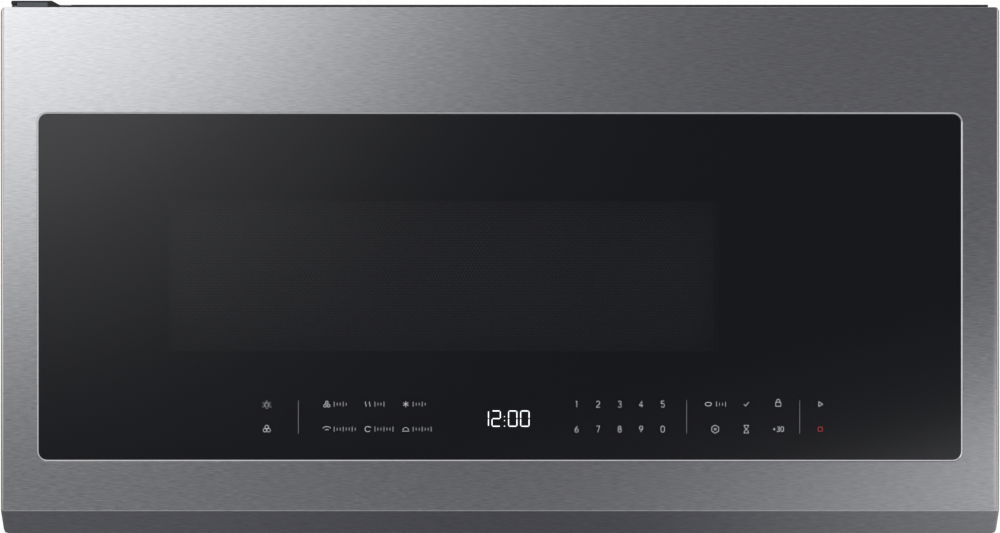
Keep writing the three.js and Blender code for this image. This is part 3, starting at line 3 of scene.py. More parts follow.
import bmesh
import bpy
import numpy as np
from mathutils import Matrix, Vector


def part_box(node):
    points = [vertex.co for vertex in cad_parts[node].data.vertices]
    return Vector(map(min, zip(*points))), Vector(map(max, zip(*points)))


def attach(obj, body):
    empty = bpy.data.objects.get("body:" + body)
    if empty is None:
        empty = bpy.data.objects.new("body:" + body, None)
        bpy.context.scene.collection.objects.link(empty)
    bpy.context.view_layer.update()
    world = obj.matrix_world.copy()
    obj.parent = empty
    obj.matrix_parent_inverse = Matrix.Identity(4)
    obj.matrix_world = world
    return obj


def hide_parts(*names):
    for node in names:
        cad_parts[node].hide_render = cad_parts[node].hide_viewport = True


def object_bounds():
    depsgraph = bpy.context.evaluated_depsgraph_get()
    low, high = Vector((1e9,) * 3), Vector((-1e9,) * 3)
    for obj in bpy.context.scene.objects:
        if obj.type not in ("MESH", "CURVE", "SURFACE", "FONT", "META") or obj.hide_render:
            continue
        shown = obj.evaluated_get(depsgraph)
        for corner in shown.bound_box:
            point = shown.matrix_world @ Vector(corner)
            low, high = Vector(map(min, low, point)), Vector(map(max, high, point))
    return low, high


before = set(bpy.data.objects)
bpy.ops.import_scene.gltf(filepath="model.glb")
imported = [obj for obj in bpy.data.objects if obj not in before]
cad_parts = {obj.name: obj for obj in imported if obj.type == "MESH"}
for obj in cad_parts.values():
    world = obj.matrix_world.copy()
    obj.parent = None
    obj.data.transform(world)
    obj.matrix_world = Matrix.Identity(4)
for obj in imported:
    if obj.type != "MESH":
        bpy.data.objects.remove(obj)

bl_info = {
    "name": "Over-the-range microwave",
    "version": (1, 0, 0),
    "blender": (4, 5, 0),
    "location": "3D View > Sidebar > Microwave",
    "description": "Dresses the frame of an over-the-range microwave in its surfaces and finishes",
    "category": "Object",
}

# Shapes are worked out in millimetres, in the frame of the CAD part, and put into meshes in metres.
MM = 0.001
CAD_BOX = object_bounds()


def box_mm(node):
    """Lowest and highest corner of a CAD node, in millimetres."""
    return np.array(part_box(node)) / MM


# ------------------------------------------------------------------ surfaces
def unit(vectors):
    """Each vector divided by its own length."""
    return vectors / np.maximum(np.linalg.norm(vectors, axis=-1, keepdims=True), 1e-9)


def grid_faces(rows, columns, wrap_rows=False, wrap_columns=False):
    """Quads between the neighbours of a grid of points that is numbered row by row."""
    i, j = np.meshgrid(
        np.arange(rows if wrap_rows else rows - 1),
        np.arange(columns if wrap_columns else columns - 1), indexing="ij")
    below, beside = (i + 1) % rows, (j + 1) % columns
    corners = [i * columns + j, i * columns + beside, below * columns + beside, below * columns + j]
    return np.stack(corners, -1).reshape(-1, 4)


def loft(loops, ring=False, ends=True):
    """Skin over closed loops of points, [loops, points, 3]: point p of loop k meets point p of loop k + 1.
    A ring also joins the last loop to the first; otherwise flat faces close the ends, where ends is
    true."""
    count, size, _ = loops.shape
    blocks = [grid_faces(count, size, ring, True)]
    if ends and not ring:
        first = np.arange(size)[None]
        blocks += [first[:, ::-1], first + (count - 1) * size]
    return loops.reshape(-1, 3), blocks


def together(*shapes):
    """Several shapes as one list of points and one of face blocks."""
    points, blocks, start = [], [], 0
    for shape_points, shape_blocks in shapes:
        points.append(shape_points)
        blocks += [block + start for block in shape_blocks]
        start += len(shape_points)
    return np.concatenate(points), blocks


def repeated(shape, offsets):
    """The shape once at each offset."""
    points, blocks = shape
    offsets = np.asarray(offsets, float)
    moved = (points[None] + offsets[:, None]).reshape(-1, 3)
    steps = np.arange(len(offsets))[:, None, None] * len(points)
    return moved, [(block[None] + steps).reshape(-1, block.shape[1]) for block in blocks]


def turned_about_z(shape, angle):
    """The shape turned about the Z axis."""
    points, blocks = shape
    x, y, z = points.T
    cosine, sine = math.cos(angle), math.sin(angle)
    return np.stack([x * cosine - y * sine, x * sine + y * cosine, z], -1), blocks


def laid(outline, height, axis):
    """Points (u, v) at a height along an axis: X takes them as Y and Z, Y as X and Z, Z as X and Y."""
    u, v = outline[..., 0], outline[..., 1]
    w = np.broadcast_to(height, u.shape)
    return np.stack({"x": (w, u, v), "y": (u, w, v), "z": (u, v, w)}[axis], -1)


def rounded_corners(corners, radii, steps=5):
    """Each corner becomes an arc that touches both of its sides, as a rational quadratic curve whose
    middle weight is the cosine of half the turn. Returns [corners, steps + 1, 2]."""
    corners = np.asarray(corners, float)
    radii = np.broadcast_to(np.asarray(radii, float), len(corners))
    to_last = unit(np.roll(corners, 1, 0) - corners)
    to_next = unit(np.roll(corners, -1, 0) - corners)
    turn = np.pi - np.arccos(np.clip((to_last * to_next).sum(1), -1, 1))
    reach = (radii * np.tan(turn / 2))[:, None]
    start, end = corners + to_last * reach, corners + to_next * reach
    s = np.linspace(0, 1, steps + 1)[None, :, None]
    middle = 2 * s * (1 - s) * np.cos(turn / 2)[:, None, None]
    weight = (1 - s) ** 2 + middle + s ** 2
    return ((1 - s) ** 2 * start[:, None] + middle * corners[:, None] + s ** 2 * end[:, None]) / weight


def outline_of(corners, radii, steps=5):
    """The same arcs as one closed line of points, [points, 2]."""
    return rounded_corners(corners, radii, steps).reshape(-1, 2)


def rectangle(low, high, radius, steps=5):
    """Anticlockwise outline of a rectangle with four equal corner radii."""
    (u0, v0), (u1, v1) = low, high
    return outline_of([(u0, v0), (u1, v0), (u1, v1), (u0, v1)], radius, steps)


def drawn_in(outline, distance):
    """Each side of an anticlockwise outline moved inwards; a corner slides along its bisector."""
    before = unit(outline - np.roll(outline, 1, 0))
    after = unit(np.roll(outline, -1, 0) - outline)
    normal_before = np.stack([-before[:, 1], before[:, 0]], -1)
    normal_after = np.stack([-after[:, 1], after[:, 0]], -1)
    spread = 1 + (normal_before * normal_after).sum(1, keepdims=True)
    return outline + (normal_before + normal_after) * distance / spread


def carried(outline, section, axis, ring=False):
    """A section of (inset, height) points carried round an outline: loop k is the outline drawn in
    by inset k, at height k along the axis."""
    loops = np.stack([laid(drawn_in(outline, inset), height, axis) for inset, height in section])
    return loft(loops, ring)


def prism(outline, low, high, axis, edge=0.5, steps=3):
    """An outline drawn out along an axis, whose two rims are quarter circles of radius edge. A flat
    ring inside each rim, 0.6 of the edge wide, keeps the flat ends flat in the light."""
    angle = np.linspace(0, np.pi / 2, steps + 1)
    flat_ring = 1.6 * edge
    inset = np.r_[flat_ring, edge * (1 - np.sin(angle))]
    rise = np.r_[0, edge * (1 - np.cos(angle))]
    section = np.concatenate([
        np.stack([inset, low + rise], -1), np.stack([inset, high - rise], -1)[::-1]])
    return carried(outline, section, axis)


def turned(profile, centre, axis, sides=32):
    """A profile of (radius, height) points turned about an axis through centre."""
    profile = np.asarray(profile, float)
    angle = np.linspace(0, 2 * np.pi, sides, endpoint=False)
    circle = np.stack([np.cos(angle), np.sin(angle)], -1)
    loops = laid(profile[:, None, :1] * circle[None], profile[:, 1:2], axis)
    return loft(loops + np.asarray(centre, float), ends=False)


def stroke(points, width, y, thickness, closed=False):
    """A flat bar of printed ink along points (x, z): the line is offset by half its width to each
    side along the bisector of its corners, which a very sharp corner cuts short, and given a
    thickness along Y."""
    line = np.asarray(points, float)
    if closed:
        ahead, behind = np.roll(line, -1, 0), np.roll(line, 1, 0)
        before, after = unit(line - behind), unit(ahead - line)
    else:
        steps = unit(np.diff(line, axis=0))
        before, after = np.concatenate([steps[:1], steps]), np.concatenate([steps, steps[-1:]])
    normal = np.stack([-before[:, 1] - after[:, 1], before[:, 0] + after[:, 0]], -1)
    spread = 1 + (before * after).sum(1, keepdims=True)
    sharpest = 0.3
    side = normal / np.maximum(spread, sharpest) * width / 2
    left, right = line + side, line - side
    loops = np.stack([
        laid(left, y, "y"), laid(right, y, "y"),
        laid(right, y + thickness, "y"), laid(left, y + thickness, "y")], 1)
    return loft(loops, ring=closed)


def arc(centre, radius, start, end, steps=12):
    """Points on a circle between two angles in degrees."""
    angle = np.radians(np.linspace(start, end, steps + 1))
    return np.asarray(centre, float) + radius * np.stack([np.cos(angle), np.sin(angle)], -1)


# Points closer than this become one, and edges shorter than this are dissolved, in metres.
MERGE_DISTANCE, SLIVER = 2e-6, 1e-7


def mesh_of(name, shape, flat_to=35, closed=True):
    """A mesh in metres from points in millimetres, with doubles merged and, where the shape is
    closed, faces turned outwards. Edges that turn by more than flat_to degrees, and open edges,
    stay sharp."""
    points, blocks = shape
    corners = np.concatenate([block.ravel() for block in blocks]).astype(np.int32)
    sizes = np.concatenate([np.full(len(block), block.shape[1]) for block in blocks])
    mesh = bpy.data.meshes.new(name)
    mesh.vertices.add(len(points))
    mesh.vertices.foreach_set("co", (points * MM).astype(np.float32).ravel())
    mesh.loops.add(len(corners))
    mesh.loops.foreach_set("vertex_index", corners)
    mesh.polygons.add(len(sizes))
    mesh.polygons.foreach_set("loop_start", (np.cumsum(sizes) - sizes).astype(np.int32))
    mesh.update(calc_edges=True)
    mesh.validate()
    work = bmesh.new()
    work.from_mesh(mesh)
    bmesh.ops.remove_doubles(work, verts=work.verts, dist=MERGE_DISTANCE)
    bmesh.ops.dissolve_degenerate(work, edges=work.edges, dist=SLIVER)
    if closed:
        bmesh.ops.recalc_face_normals(work, faces=work.faces)
    work.to_mesh(mesh)
    work.free()
    mesh.polygons.foreach_set("use_smooth", np.ones(len(mesh.polygons), bool))
    mesh.set_sharp_from_angle(angle=math.radians(flat_to))
    edges = np.empty(len(mesh.loops), np.int32)
    mesh.loops.foreach_get("edge_index", edges)
    sharp = np.empty(len(mesh.edges), bool)
    mesh.edges.foreach_get("use_edge_sharp", sharp)
    mesh.edges.foreach_set("use_edge_sharp", sharp | (np.bincount(edges, minlength=len(sharp)) == 1))
    return mesh


def add_piece(name, shape, finish, body, replaces=(), flat_to=35, closed=True):
    """Puts a shape into the scene as a piece that rides on a body, with its finish, and in place of
    the CAD nodes that it replaces."""
    piece = bpy.data.objects.new(name, mesh_of(name, shape, flat_to, closed))
    bpy.context.scene.collection.objects.link(piece)
    piece.data.materials.append(finish)
    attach(piece, body)
    if replaces:
        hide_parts(*replaces)
    return piece


# ------------------------------------------------------------------ finishes
def linear(hex_colour):
    """An sRGB hex colour as linear red, green, blue and 1."""
    channels = [int(hex_colour[k:k + 2], 16) / 255 for k in (0, 2, 4)]
    return tuple(c / 12.92 if c <= 0.04045 else ((c + 0.055) / 1.055) ** 2.4 for c in channels) + (1.0,)


def add_node(tree, kind, options=None, **links):
    """Adds a node. options are its own settings; links give its inputs a value or another socket,
    with _ in a name for a space, or _ and a number for an input's place."""
    node = tree.nodes.new(kind)
    for option, value in (options or {}).items():
        setattr(node, option, value)
    for label, value in links.items():
        socket = node.inputs[int(label[1:]) if label[1:].isdigit() else label.replace("_", " ")]
        if isinstance(value, bpy.types.NodeSocket):
            tree.links.new(value, socket)
        else:
            socket.default_value = value
    return node


def empty_tree(owner):
    """The node tree of a material or a world, with nothing in it."""
    owner.use_nodes = True
    owner.node_tree.nodes.clear()
    return owner.node_tree


def shader(name, **sockets):
    """A material of its own and its shader, whose plain values are set on the shader's sockets."""
    material = bpy.data.materials.get(name) or bpy.data.materials.new(name)
    tree = empty_tree(material)
    surface = add_node(tree, "ShaderNodeBsdfPrincipled", **sockets)
    add_node(tree, "ShaderNodeOutputMaterial", Surface=surface.outputs[0])
    return material, tree, surface


def grain(tree, size, detail=3.0, roughness=0.5):
    """Noise whose features are size (x, y, z) millimetres long, on Object coordinates."""
    place = add_node(tree, "ShaderNodeTexCoord")
    scale = tuple(1 / (s * MM) for s in size)
    spread = add_node(tree, "ShaderNodeMapping", Vector=place.outputs["Object"], Scale=scale)
    noise = add_node(tree, "ShaderNodeTexNoise", Vector=spread.outputs[0], Scale=1.0,
                     Detail=detail, Roughness=roughness)
    return noise.outputs["Fac"]


def mottled(tree, surface, pattern, dark, light, first=0.3, last=0.7):
    """Lets a pattern take the colour from dark to light, between two of the pattern's values."""
    ramp = add_node(tree, "ShaderNodeValToRGB", Fac=pattern)
    for stop, place, colour in zip(ramp.color_ramp.elements, (first, last), (dark, light)):
        stop.position = place
        stop.color = colour
    tree.links.new(ramp.outputs[0], surface.inputs["Base Color"])


def uneven_gloss(tree, surface, pattern, smoothest, roughest, first=0.3, last=0.7):
    """Lets a pattern take the roughness from smoothest to roughest, between two of its values."""
    rough = add_node(tree, "ShaderNodeMapRange", Value=pattern, From_Min=first, From_Max=last,
                     To_Min=smoothest, To_Max=roughest)
    tree.links.new(rough.outputs[0], surface.inputs["Roughness"])


def bumped(tree, surface, height, depth, strength=1.0, rounding=None):
    """Raises a pattern by depth millimetres; rounding softens the edges of a CAD node in the light."""
    bump = add_node(tree, "ShaderNodeBump", Height=height, Distance=depth * MM, Strength=strength)
    if rounding:
        edge = add_node(tree, "ShaderNodeBevel", {"samples": 4}, Radius=rounding * MM)
        tree.links.new(edge.outputs[0], bump.inputs["Normal"])
    tree.links.new(bump.outputs[0], surface.inputs["Normal"])


def plain_finish(name, dark, light, rough, grain_mm, depth=0.02, rounding=0.6, **sockets):
    """A finish with a mottled colour, an uneven gloss and a fine relief, all from one grain."""
    material, tree, surface = shader(name, **sockets)
    pattern = grain(tree, grain_mm)
    mottled(tree, surface, pattern, linear(dark), linear(light))
    uneven_gloss(tree, surface, pattern, *rough)
    bumped(tree, surface, pattern, depth, rounding=rounding)
    return material


def brushed_stainless(look):
    """Stainless sheet brushed along X. The scratches of a 180 grit belt are 0.1 mm high; they are
    drawn 0.45 mm high and 7 mm long, as fine as they show. It gives soft, level-streaked reflections."""
    material, tree, surface = shader("brushed_stainless", Metallic=1.0)
    streak_mm, relief_mm, relief_strength, gloss_change = (7, 7, 0.45), 0.002, 0.1, 0.02
    streaks = grain(tree, streak_mm, 3.0, 0.6)
    base = np.array(look.steel_colour)
    dark = tuple(base * (1 - look.steel_streak)) + (1.0,)
    light = tuple(np.minimum(base * (1 + look.steel_streak), 1)) + (1.0,)
    mottled(tree, surface, streaks, dark, light, 0.32, 0.68)
    smoothest, roughest = look.steel_roughness - gloss_change, look.steel_roughness + gloss_change
    uneven_gloss(tree, surface, streaks, smoothest, roughest)
    bumped(tree, surface, streaks, relief_mm, relief_strength)
    return material


def polished_stainless():
    """Buffed stainless strip: near-mirror with faint haze, so it draws a bright line."""
    material, tree, surface = shader("polished_stainless", Metallic=1.0, Base_Color=linear("e9eaec"))
    uneven_gloss(tree, surface, grain(tree, (6, 6, 6)), 0.1, 0.2)
    return material


def tinted_glass(look):
    """Door glass with a dark tinted back: mirror-smooth, and only part of the light comes through."""
    material, tree, surface = shader(
        "tinted_door_glass", Base_Color=tuple(look.glass_tint) + (1.0,), IOR=look.glass_index,
        Alpha=1 - look.glass_clear)
    uneven_gloss(tree, surface, grain(tree, (90, 90, 60), 2.0), 0.015, 0.03)
    return material


def clear_glass(name, tint, roughness):
    """Toughened glass: see-through, with a faint tint. A low roughness gives it sharp highlights and
    a high one blurs what lies behind it."""
    material, tree, surface = shader(
        name, Base_Color=linear(tint), IOR=1.5, Transmission_Weight=1.0)
    uneven_gloss(tree, surface, grain(tree, (30, 30, 30), 2.0), roughness, roughness + 0.03)
    return material


def galvanised_sheet():
    """Hot-dip galvanised steel: flat grey crystals (spangle) 7 mm across that differ in brightness
    and gloss."""
    material, tree, surface = shader("galvanised_sheet", Metallic=1.0)
    spangle_mm = 7
    place = add_node(tree, "ShaderNodeTexCoord")
    crystal = add_node(tree, "ShaderNodeTexVoronoi", Vector=place.outputs["Object"],
                       Scale=1 / (spangle_mm * MM))
    shade = add_node(tree, "ShaderNodeSeparateColor", Color=crystal.outputs["Color"])
    mottled(tree, surface, shade.outputs[0], linear("b0b3b5"), linear("c4c7c9"), 0.0, 1.0)
    uneven_gloss(tree, surface, shade.outputs[1], 0.36, 0.46, 0.0, 1.0)
    bumped(tree, surface, grain(tree, (1.2, 1.2, 1.2)), 0.01, 0.4, 0.5)
    return material


def lit_segments(look):
    """Light-emitting clock digits that shine through the glass."""
    material, tree, surface = shader(
        "lit_clock_digits", Base_Color=linear("e8ecee"), Emission_Color=linear("f2f6f8"),
        Emission_Strength=look.clock_glow, Roughness=0.5)
    uneven_gloss(tree, surface, grain(tree, (0.8, 0.8, 0.8)), 0.45, 0.6)
    return material


def ink(name, dark, light, **sockets):
    """Screen-printed ink: matt, without relief, with a 0.5 mm mottle."""
    return plain_finish(name, dark, light, (0.5, 0.6), (0.5, 0.5, 0.5), 0.0, None, **sockets)


def dimmed(colour, share):
    """A linear colour, dimmed to a share, as an sRGB hex value."""
    channels = [min(max(c * share, 0), 1) for c in list(colour)[:3]]
    coded = [12.92 * c if c <= 0.0031308 else 1.055 * c ** (1 / 2.4) - 0.055 for c in channels]
    return "".join(f"{round(c * 255):02x}" for c in coded)


def finishes(look):
    """Every finish of the object, by the name of what it is made of."""
    return {
        "brushed_stainless": brushed_stainless(look),
        "polished_stainless": polished_stainless(),
        "tinted_glass": tinted_glass(look),
        "clear_glass": clear_glass("toughened_glass", "eef5f2", 0.01),
        # Sand-blasted glass: milky, so that a lamp behind it looks like one soft patch.
        "frosted_lens": clear_glass("frosted_lamp_lens", "f4f2ea", 0.35),
        "galvanised": galvanised_sheet(),
        "lit_segments": lit_segments(look),
        # Powder-coated sheet: charcoal with a fine orange-peel, 1.5 mm across.
        "powder_coat": plain_finish(
            "charcoal_powder_coat", "222326", "2a2b2e", (0.42, 0.5), (1.5, 1.5, 1.5), 0.02),
        # Sprayed and baked enamel: light grey with fine darker flecks.
        "oven_enamel": plain_finish(
            "grey_oven_enamel", "8f8c84", "b4b1a8", (0.3, 0.42), (0.9, 0.9, 0.9), 0.01, IOR=1.5),
        # Moulded ABS from a spark-eroded tool: an even satin black, whose 0.5 mm grain is drawn
        # 0.8 mm wide, as fine as it shows.
        "black_abs": plain_finish(
            "moulded_black_abs", "0d0d0f", "141416", (0.36, 0.48), (0.8, 0.8, 0.8), 0.015, IOR=1.53),
        # The same in slate grey: a painted reflection of the light on the hinge cap's black front.
        "abs_painted_reflection": plain_finish(
            "moulded_abs_painted_reflection", "505358", "5a5d62", (0.4, 0.5), (0.8, 0.8, 0.8), 0.01, IOR=1.53),
        # Moulded nylon: dull grey and faintly cloudy.
        "grey_nylon": plain_finish(
            "moulded_grey_nylon", "4c4f52", "5b5e61", (0.45, 0.6), (1, 1, 1), 0.015, IOR=1.53),
        # Natural acetal: milky white and slightly waxy.
        "white_acetal": plain_finish(
            "moulded_white_acetal", "cfccc2", "dedbd2", (0.35, 0.48), (2, 2, 2), 0.01, IOR=1.48),
        # Cold-rolled steel under a light oil film: soft grey, with level streaks 1 mm high.
        "bright_steel": plain_finish(
            "cold_rolled_steel", "7d8083", "989b9e", (0.3, 0.45), (8, 8, 1.0), 0.01, Metallic=1.0),
        # Aluminium as it leaves the mill: pale and satin, with level streaks 1.6 mm high.
        "aluminium": plain_finish(
            "mill_aluminium", "b3b6b8", "c8cbcd", (0.28, 0.42), (14, 14, 1.6), 0.01, Metallic=1.0),
        # Enamelled copper wire: a varnished brown winding with 1 mm turns.
        "copper_winding": plain_finish(
            "varnished_copper_winding", "7a3f1f", "a8623a", (0.3, 0.45), (60, 60, 1.0), 0.3,
            Metallic=0.6),
        # Glass-fibre circuit board under a coat of solder mask: smooth, deep green.
        "circuit_board": plain_finish(
            "green_solder_mask", "164a2c", "1f5f39", (0.3, 0.42), (3, 3, 3), 0.03, IOR=1.5),
        # Granular charcoal in a fleece pad: nearly black and dead matt.
        "charcoal_pad": plain_finish(
            "charcoal_fleece", "0c0c0c", "1d1d1d", (0.85, 0.95), (2.2, 2.2, 2.2), 0.8),
        # Pressed mica sheet: tan flakes.
        "mica_sheet": plain_finish(
            "pressed_mica_sheet", "a2936f", "c0b294", (0.4, 0.6), (5, 5, 5), 0.02, IOR=1.56),
        # Screen-printed grey ink with a painted glow: faint light of its own, with no lamp behind it.
        "grey_ink": ink(
            "grey_ink_painted_glow", dimmed(look.mark_colour, 0.92), dimmed(look.mark_colour, 1.0),
            Emission_Color=linear("e4e6ea"), Emission_Strength=look.painted_mark_glow),
        # The same ink without the painted glow: a dim grey.
        "dim_ink": ink("dim_grey_ink", dimmed(look.mark_colour, 0.36), dimmed(look.mark_colour, 0.38)),
        # The stop mark's ink, also without the painted glow: a dull red.
        "red_ink": ink("red_printed_ink", dimmed(look.stop_colour, 0.95), dimmed(look.stop_colour, 1.0)),
        # Ceramic ink fired on the back of the glass: black and even. It is bonded to the glass, so
        # next to nothing is mirrored between the two.
        "black_print": ink("black_ceramic_print", "06070b", "08090d", IOR=1.05),
        # Pierced steel sheet under a thin dip-painted coat: an even satin grey.
        "screen_paint": plain_finish(
            "dipped_grey_screen_paint", "45474b", "4d4f54", (0.4, 0.5), (1.5, 1.5, 1.5), 0.01, None),
        # Zinc-plated screws: small pale glints.
        "zinc_screw": plain_finish(
            "zinc_plated_screw", "9a9d9f", "b9bcbe", (0.22, 0.36), (0.8, 0.8, 0.8), 0.01, Metallic=1.0),
        # Screws with a black oxide: nearly black, with a dull metal shine.
        "black_screw": plain_finish(
            "black_oxide_screw", "141416", "1f1f22", (0.3, 0.45), (0.8, 0.8, 0.8), 0.01, Metallic=1.0),
    }


# What each CAD node that is still shown is made of.
NODE_FINISHES = {
    "wall_plate": "galvanised", "rear_plate": "galvanised", "top_plate": "galvanised",
    "side_panel_left": "powder_coat", "side_panel_right": "powder_coat", "base_plate": "powder_coat",
    "front_frame": "oven_enamel", "vent_grille": "black_abs", "charcoal_filter": "charcoal_pad",
    "cord_gland": "black_abs", "hinge_bracket_upper": "bright_steel",
    "hinge_bracket_lower": "bright_steel", "latch_body": "white_acetal",
    "oven_cavity": "oven_enamel", "oven_lamp": "white_acetal", "power_board": "circuit_board",
    "turntable_motor": "galvanised", "turntable_coupler": "white_acetal",
    "roller_ring": "grey_nylon", "waveguide": "galvanised", "waveguide_cover": "mica_sheet",
    "magnetron": "aluminium", "component_shelf": "galvanised", "transformer_core": "bright_steel",
    "transformer_winding": "copper_winding", "hv_capacitor": "aluminium",
    "cooling_fan_shroud": "galvanised", "cooling_fan_motor": "bright_steel",
    "cooling_fan": "black_abs", "blower_motor": "bright_steel", "blower_shaft": "bright_steel",
    "blower_housing_left": "galvanised", "blower_housing_right": "galvanised",
    "blower_wheel_left": "white_acetal", "blower_wheel_right": "white_acetal",
    "duct_collar": "galvanised", "damper_flap": "aluminium",
    "door_inner_frame": "black_abs", "door_choke": "powder_coat", "door_back_cover": "black_abs",
    "display_module": "black_abs", "control_board": "circuit_board",
    "door_inner_window": "clear_glass", "door_hinge_block_upper": "white_acetal",
    "door_hinge_block_lower": "white_acetal", "door_key": "white_acetal",
    "door_key_spring": "bright_steel",
}


# ------------------------------------------------------------------ settings
class MicrowaveSizes(bpy.types.PropertyGroup):
    """Sizes of the surfaces that dress the frame."""
    skin: bpy.props.FloatProperty(
        name="Door sheet", description="Thickness of the door's steel skin",
        default=1.0 * MM, min=0.4 * MM, max=1.6 * MM, unit="LENGTH", precision=4)
    side_edge: bpy.props.FloatProperty(
        name="Side edge", description="Radius of the fold at the door's two sides",
        default=2.4 * MM, min=0.5 * MM, max=4 * MM, unit="LENGTH", precision=4)
    fold: bpy.props.FloatProperty(
        name="Top fold", description="Radius of the fold along the door's top",
        default=0.25 * MM, min=0.1 * MM, max=4 * MM, unit="LENGTH", precision=5)
    corner: bpy.props.FloatProperty(
        name="Upper corner", description="Radius of the door's two upper corners",
        default=4.5 * MM, min=1 * MM, max=10 * MM, unit="LENGTH", precision=4)
    lip_corner: bpy.props.FloatProperty(
        name="Lower corner", description="Radius of the two lower corners of the finger pull",
        default=5.0 * MM, min=1 * MM, max=8 * MM, unit="LENGTH", precision=4)
    screen_pitch: bpy.props.FloatProperty(
        name="Screen pitch", description="Distance between the holes of the microwave screen",
        default=2.5 * MM, min=1.5 * MM, max=6 * MM, unit="LENGTH", precision=4)
    screen_hole: bpy.props.FloatProperty(
        name="Screen hole", description="Diameter of a hole in the microwave screen",
        default=1.5 * MM, min=0.5 * MM, max=5 * MM, unit="LENGTH", precision=4)
    filter_cell: bpy.props.FloatProperty(
        name="Filter mesh", description="Long side of a diamond in the grease filters' mesh",
        default=9 * MM, min=4 * MM, max=30 * MM, unit="LENGTH", precision=4)
    mark_line: bpy.props.FloatProperty(
        name="Mark line", description="Width of the lines of the printed marks",
        default=0.24 * MM, min=0.1 * MM, max=1.5 * MM, unit="LENGTH", precision=5)
    digit_height: bpy.props.FloatProperty(
        name="Key digit height", description="Height of the digits on the touch keys",
        default=4.7 * MM, min=2 * MM, max=9 * MM, unit="LENGTH", precision=4)


class MicrowaveLook(bpy.types.PropertyGroup):
    """Colours and gloss."""
    steel_colour: bpy.props.FloatVectorProperty(
        name="Steel", description="Colour of the brushed steel", subtype="COLOR", size=3,
        default=linear("cdced0")[:3], min=0, max=1)
    steel_roughness: bpy.props.FloatProperty(
        name="Steel roughness", description="Roughness of the brushed steel",
        default=0.17, min=0.05, max=0.8, subtype="FACTOR")
    steel_streak: bpy.props.FloatProperty(
        name="Brushing", description="Share by which a brushed streak is lighter or darker",
        default=0.13, min=0, max=0.3, subtype="FACTOR")
    glass_tint: bpy.props.FloatVectorProperty(
        name="Door glass", description="Colour of the door glass", subtype="COLOR", size=3,
        default=linear("06080f")[:3], min=0, max=1)
    glass_index: bpy.props.FloatProperty(
        name="Glass index", description="Refractive index that sets how strongly the door glass reflects",
        default=1.82, min=1.3, max=2.2)
    glass_clear: bpy.props.FloatProperty(
        name="Glass clearness", description="Share of light that the door glass lets through",
        default=0.5, min=0, max=1, subtype="FACTOR")
    mark_colour: bpy.props.FloatVectorProperty(
        name="Marks", description="Colour of the printed marks", subtype="COLOR", size=3,
        default=linear("cfd0d3")[:3], min=0, max=1)
    # The marks' glow is painted light: the ink gives off light of its own, with no lamp behind it.
    painted_mark_glow: bpy.props.FloatProperty(
        name="Mark glow", description="Strength of the light behind the printed marks",
        default=0.35, min=0, max=5)
    stop_colour: bpy.props.FloatVectorProperty(
        name="Stop mark", description="Colour of the stop mark", subtype="COLOR", size=3,
        default=linear("c22a33")[:3], min=0, max=1)
    clock_glow: bpy.props.FloatProperty(
        name="Clock glow", description="Strength of the light of the clock digits",
        default=0.85, min=0, max=5)


class MicrowaveStage(bpy.types.PropertyGroup):
    """Camera, floor and light."""
    distance: bpy.props.FloatProperty(
        name="Camera distance", description="From the camera to the front of the door",
        default=2.55, min=0.5, max=10, unit="LENGTH")
    frame_width: bpy.props.FloatProperty(
        name="Width in view", description="Width that the picture takes in at the door's front",
        default=0.7596, min=0.1, max=5, unit="LENGTH", precision=5)
    level: bpy.props.FloatProperty(
        name="Camera height", description="Height of the camera over the middle of the part",
        default=0.76 * MM, min=-2, max=2, unit="LENGTH", precision=5)
    floor_drop: bpy.props.FloatProperty(
        name="Floor", description="How far the floor lies under the part",
        default=0.14, min=0, max=2, unit="LENGTH")
    sky: bpy.props.FloatProperty(
        name="Room light", description="Strength of the even light from all round",
        default=0.8, min=0, max=3)


def settings():
    """The three groups of settings: sizes, look and stage."""
    scene = bpy.context.scene
    return scene.microwave_sizes, scene.microwave_look, scene.microwave_stage


READY_FINISHES = {}


def make_finishes():
    """Makes every finish from the settings. A material that is there already is made anew in its
    place, so that a changed colour reaches the pieces that have it."""
    _, look, _ = settings()
    READY_FINISHES.update(finishes(look))


def made_of(name):
    """A finish by its name. All of them are made when the first is asked for."""
    if not READY_FINISHES:
        make_finishes()
    return READY_FINISHES[name]


# ---------------------------------------------------------------------- door
# The door's section, in millimetres. The roof lies under the top of its node, the bend and the floor
# over its foot, and the foot and the back of the finger pull behind its front.
ROOF_DROP, BEND_RISE, FLOOR_RISE = 0.85, 18.4, 21.7
PULL_FOOT_DEPTH, PULL_BACK_DEPTH = 18, 22
# Radii at the corners of the section: the outer ones from the bend on, and all the inner ones.
LOWER_FOLDS = (2.0, 4.0, 0.9, 0.9, 0)
INNER_FOLDS = (0, 0.2, 1.0, 1.5, 0.1, 0.4, 0)
FOLD_STEPS, SIDE_STEPS = 5, 6
# Rows and columns of points round the window, the width of the border there, and how far the first
# row lies from a fold of the outer section, and of the inner one, and the first column from a side.
BORDER_ROWS, BORDER_COLUMNS, BORDER_WIDTH = 17, 33, 4
FOLD_MARGIN, INNER_FOLD_MARGIN, SIDE_MARGIN = 0.6, 0.1, 5.2
# Shifts of the trim's two corners from those of its node, and the hairline gap round it.
TRIM_LOW_FIT, TRIM_HIGH_FIT, TRIM_GROOVE = (-0.2, 0, 0.35), (-0.1, 0, 0.15), (0.08, 0, 0.08)
# Corner radii of the window opening, the trim and the glass, how far the glass lies inside the trim,
# and the radius and the depth of the edge that is folded back round the opening.
OPENING_RADIUS, TRIM_RADIUS, GLASS_RADIUS = 7.8, 7.7, 6.5
GLASS_INSET, OPENING_FOLD, OPENING_DEPTH = 1.2, 0.15, 2.6
CORNER_STEPS = 8
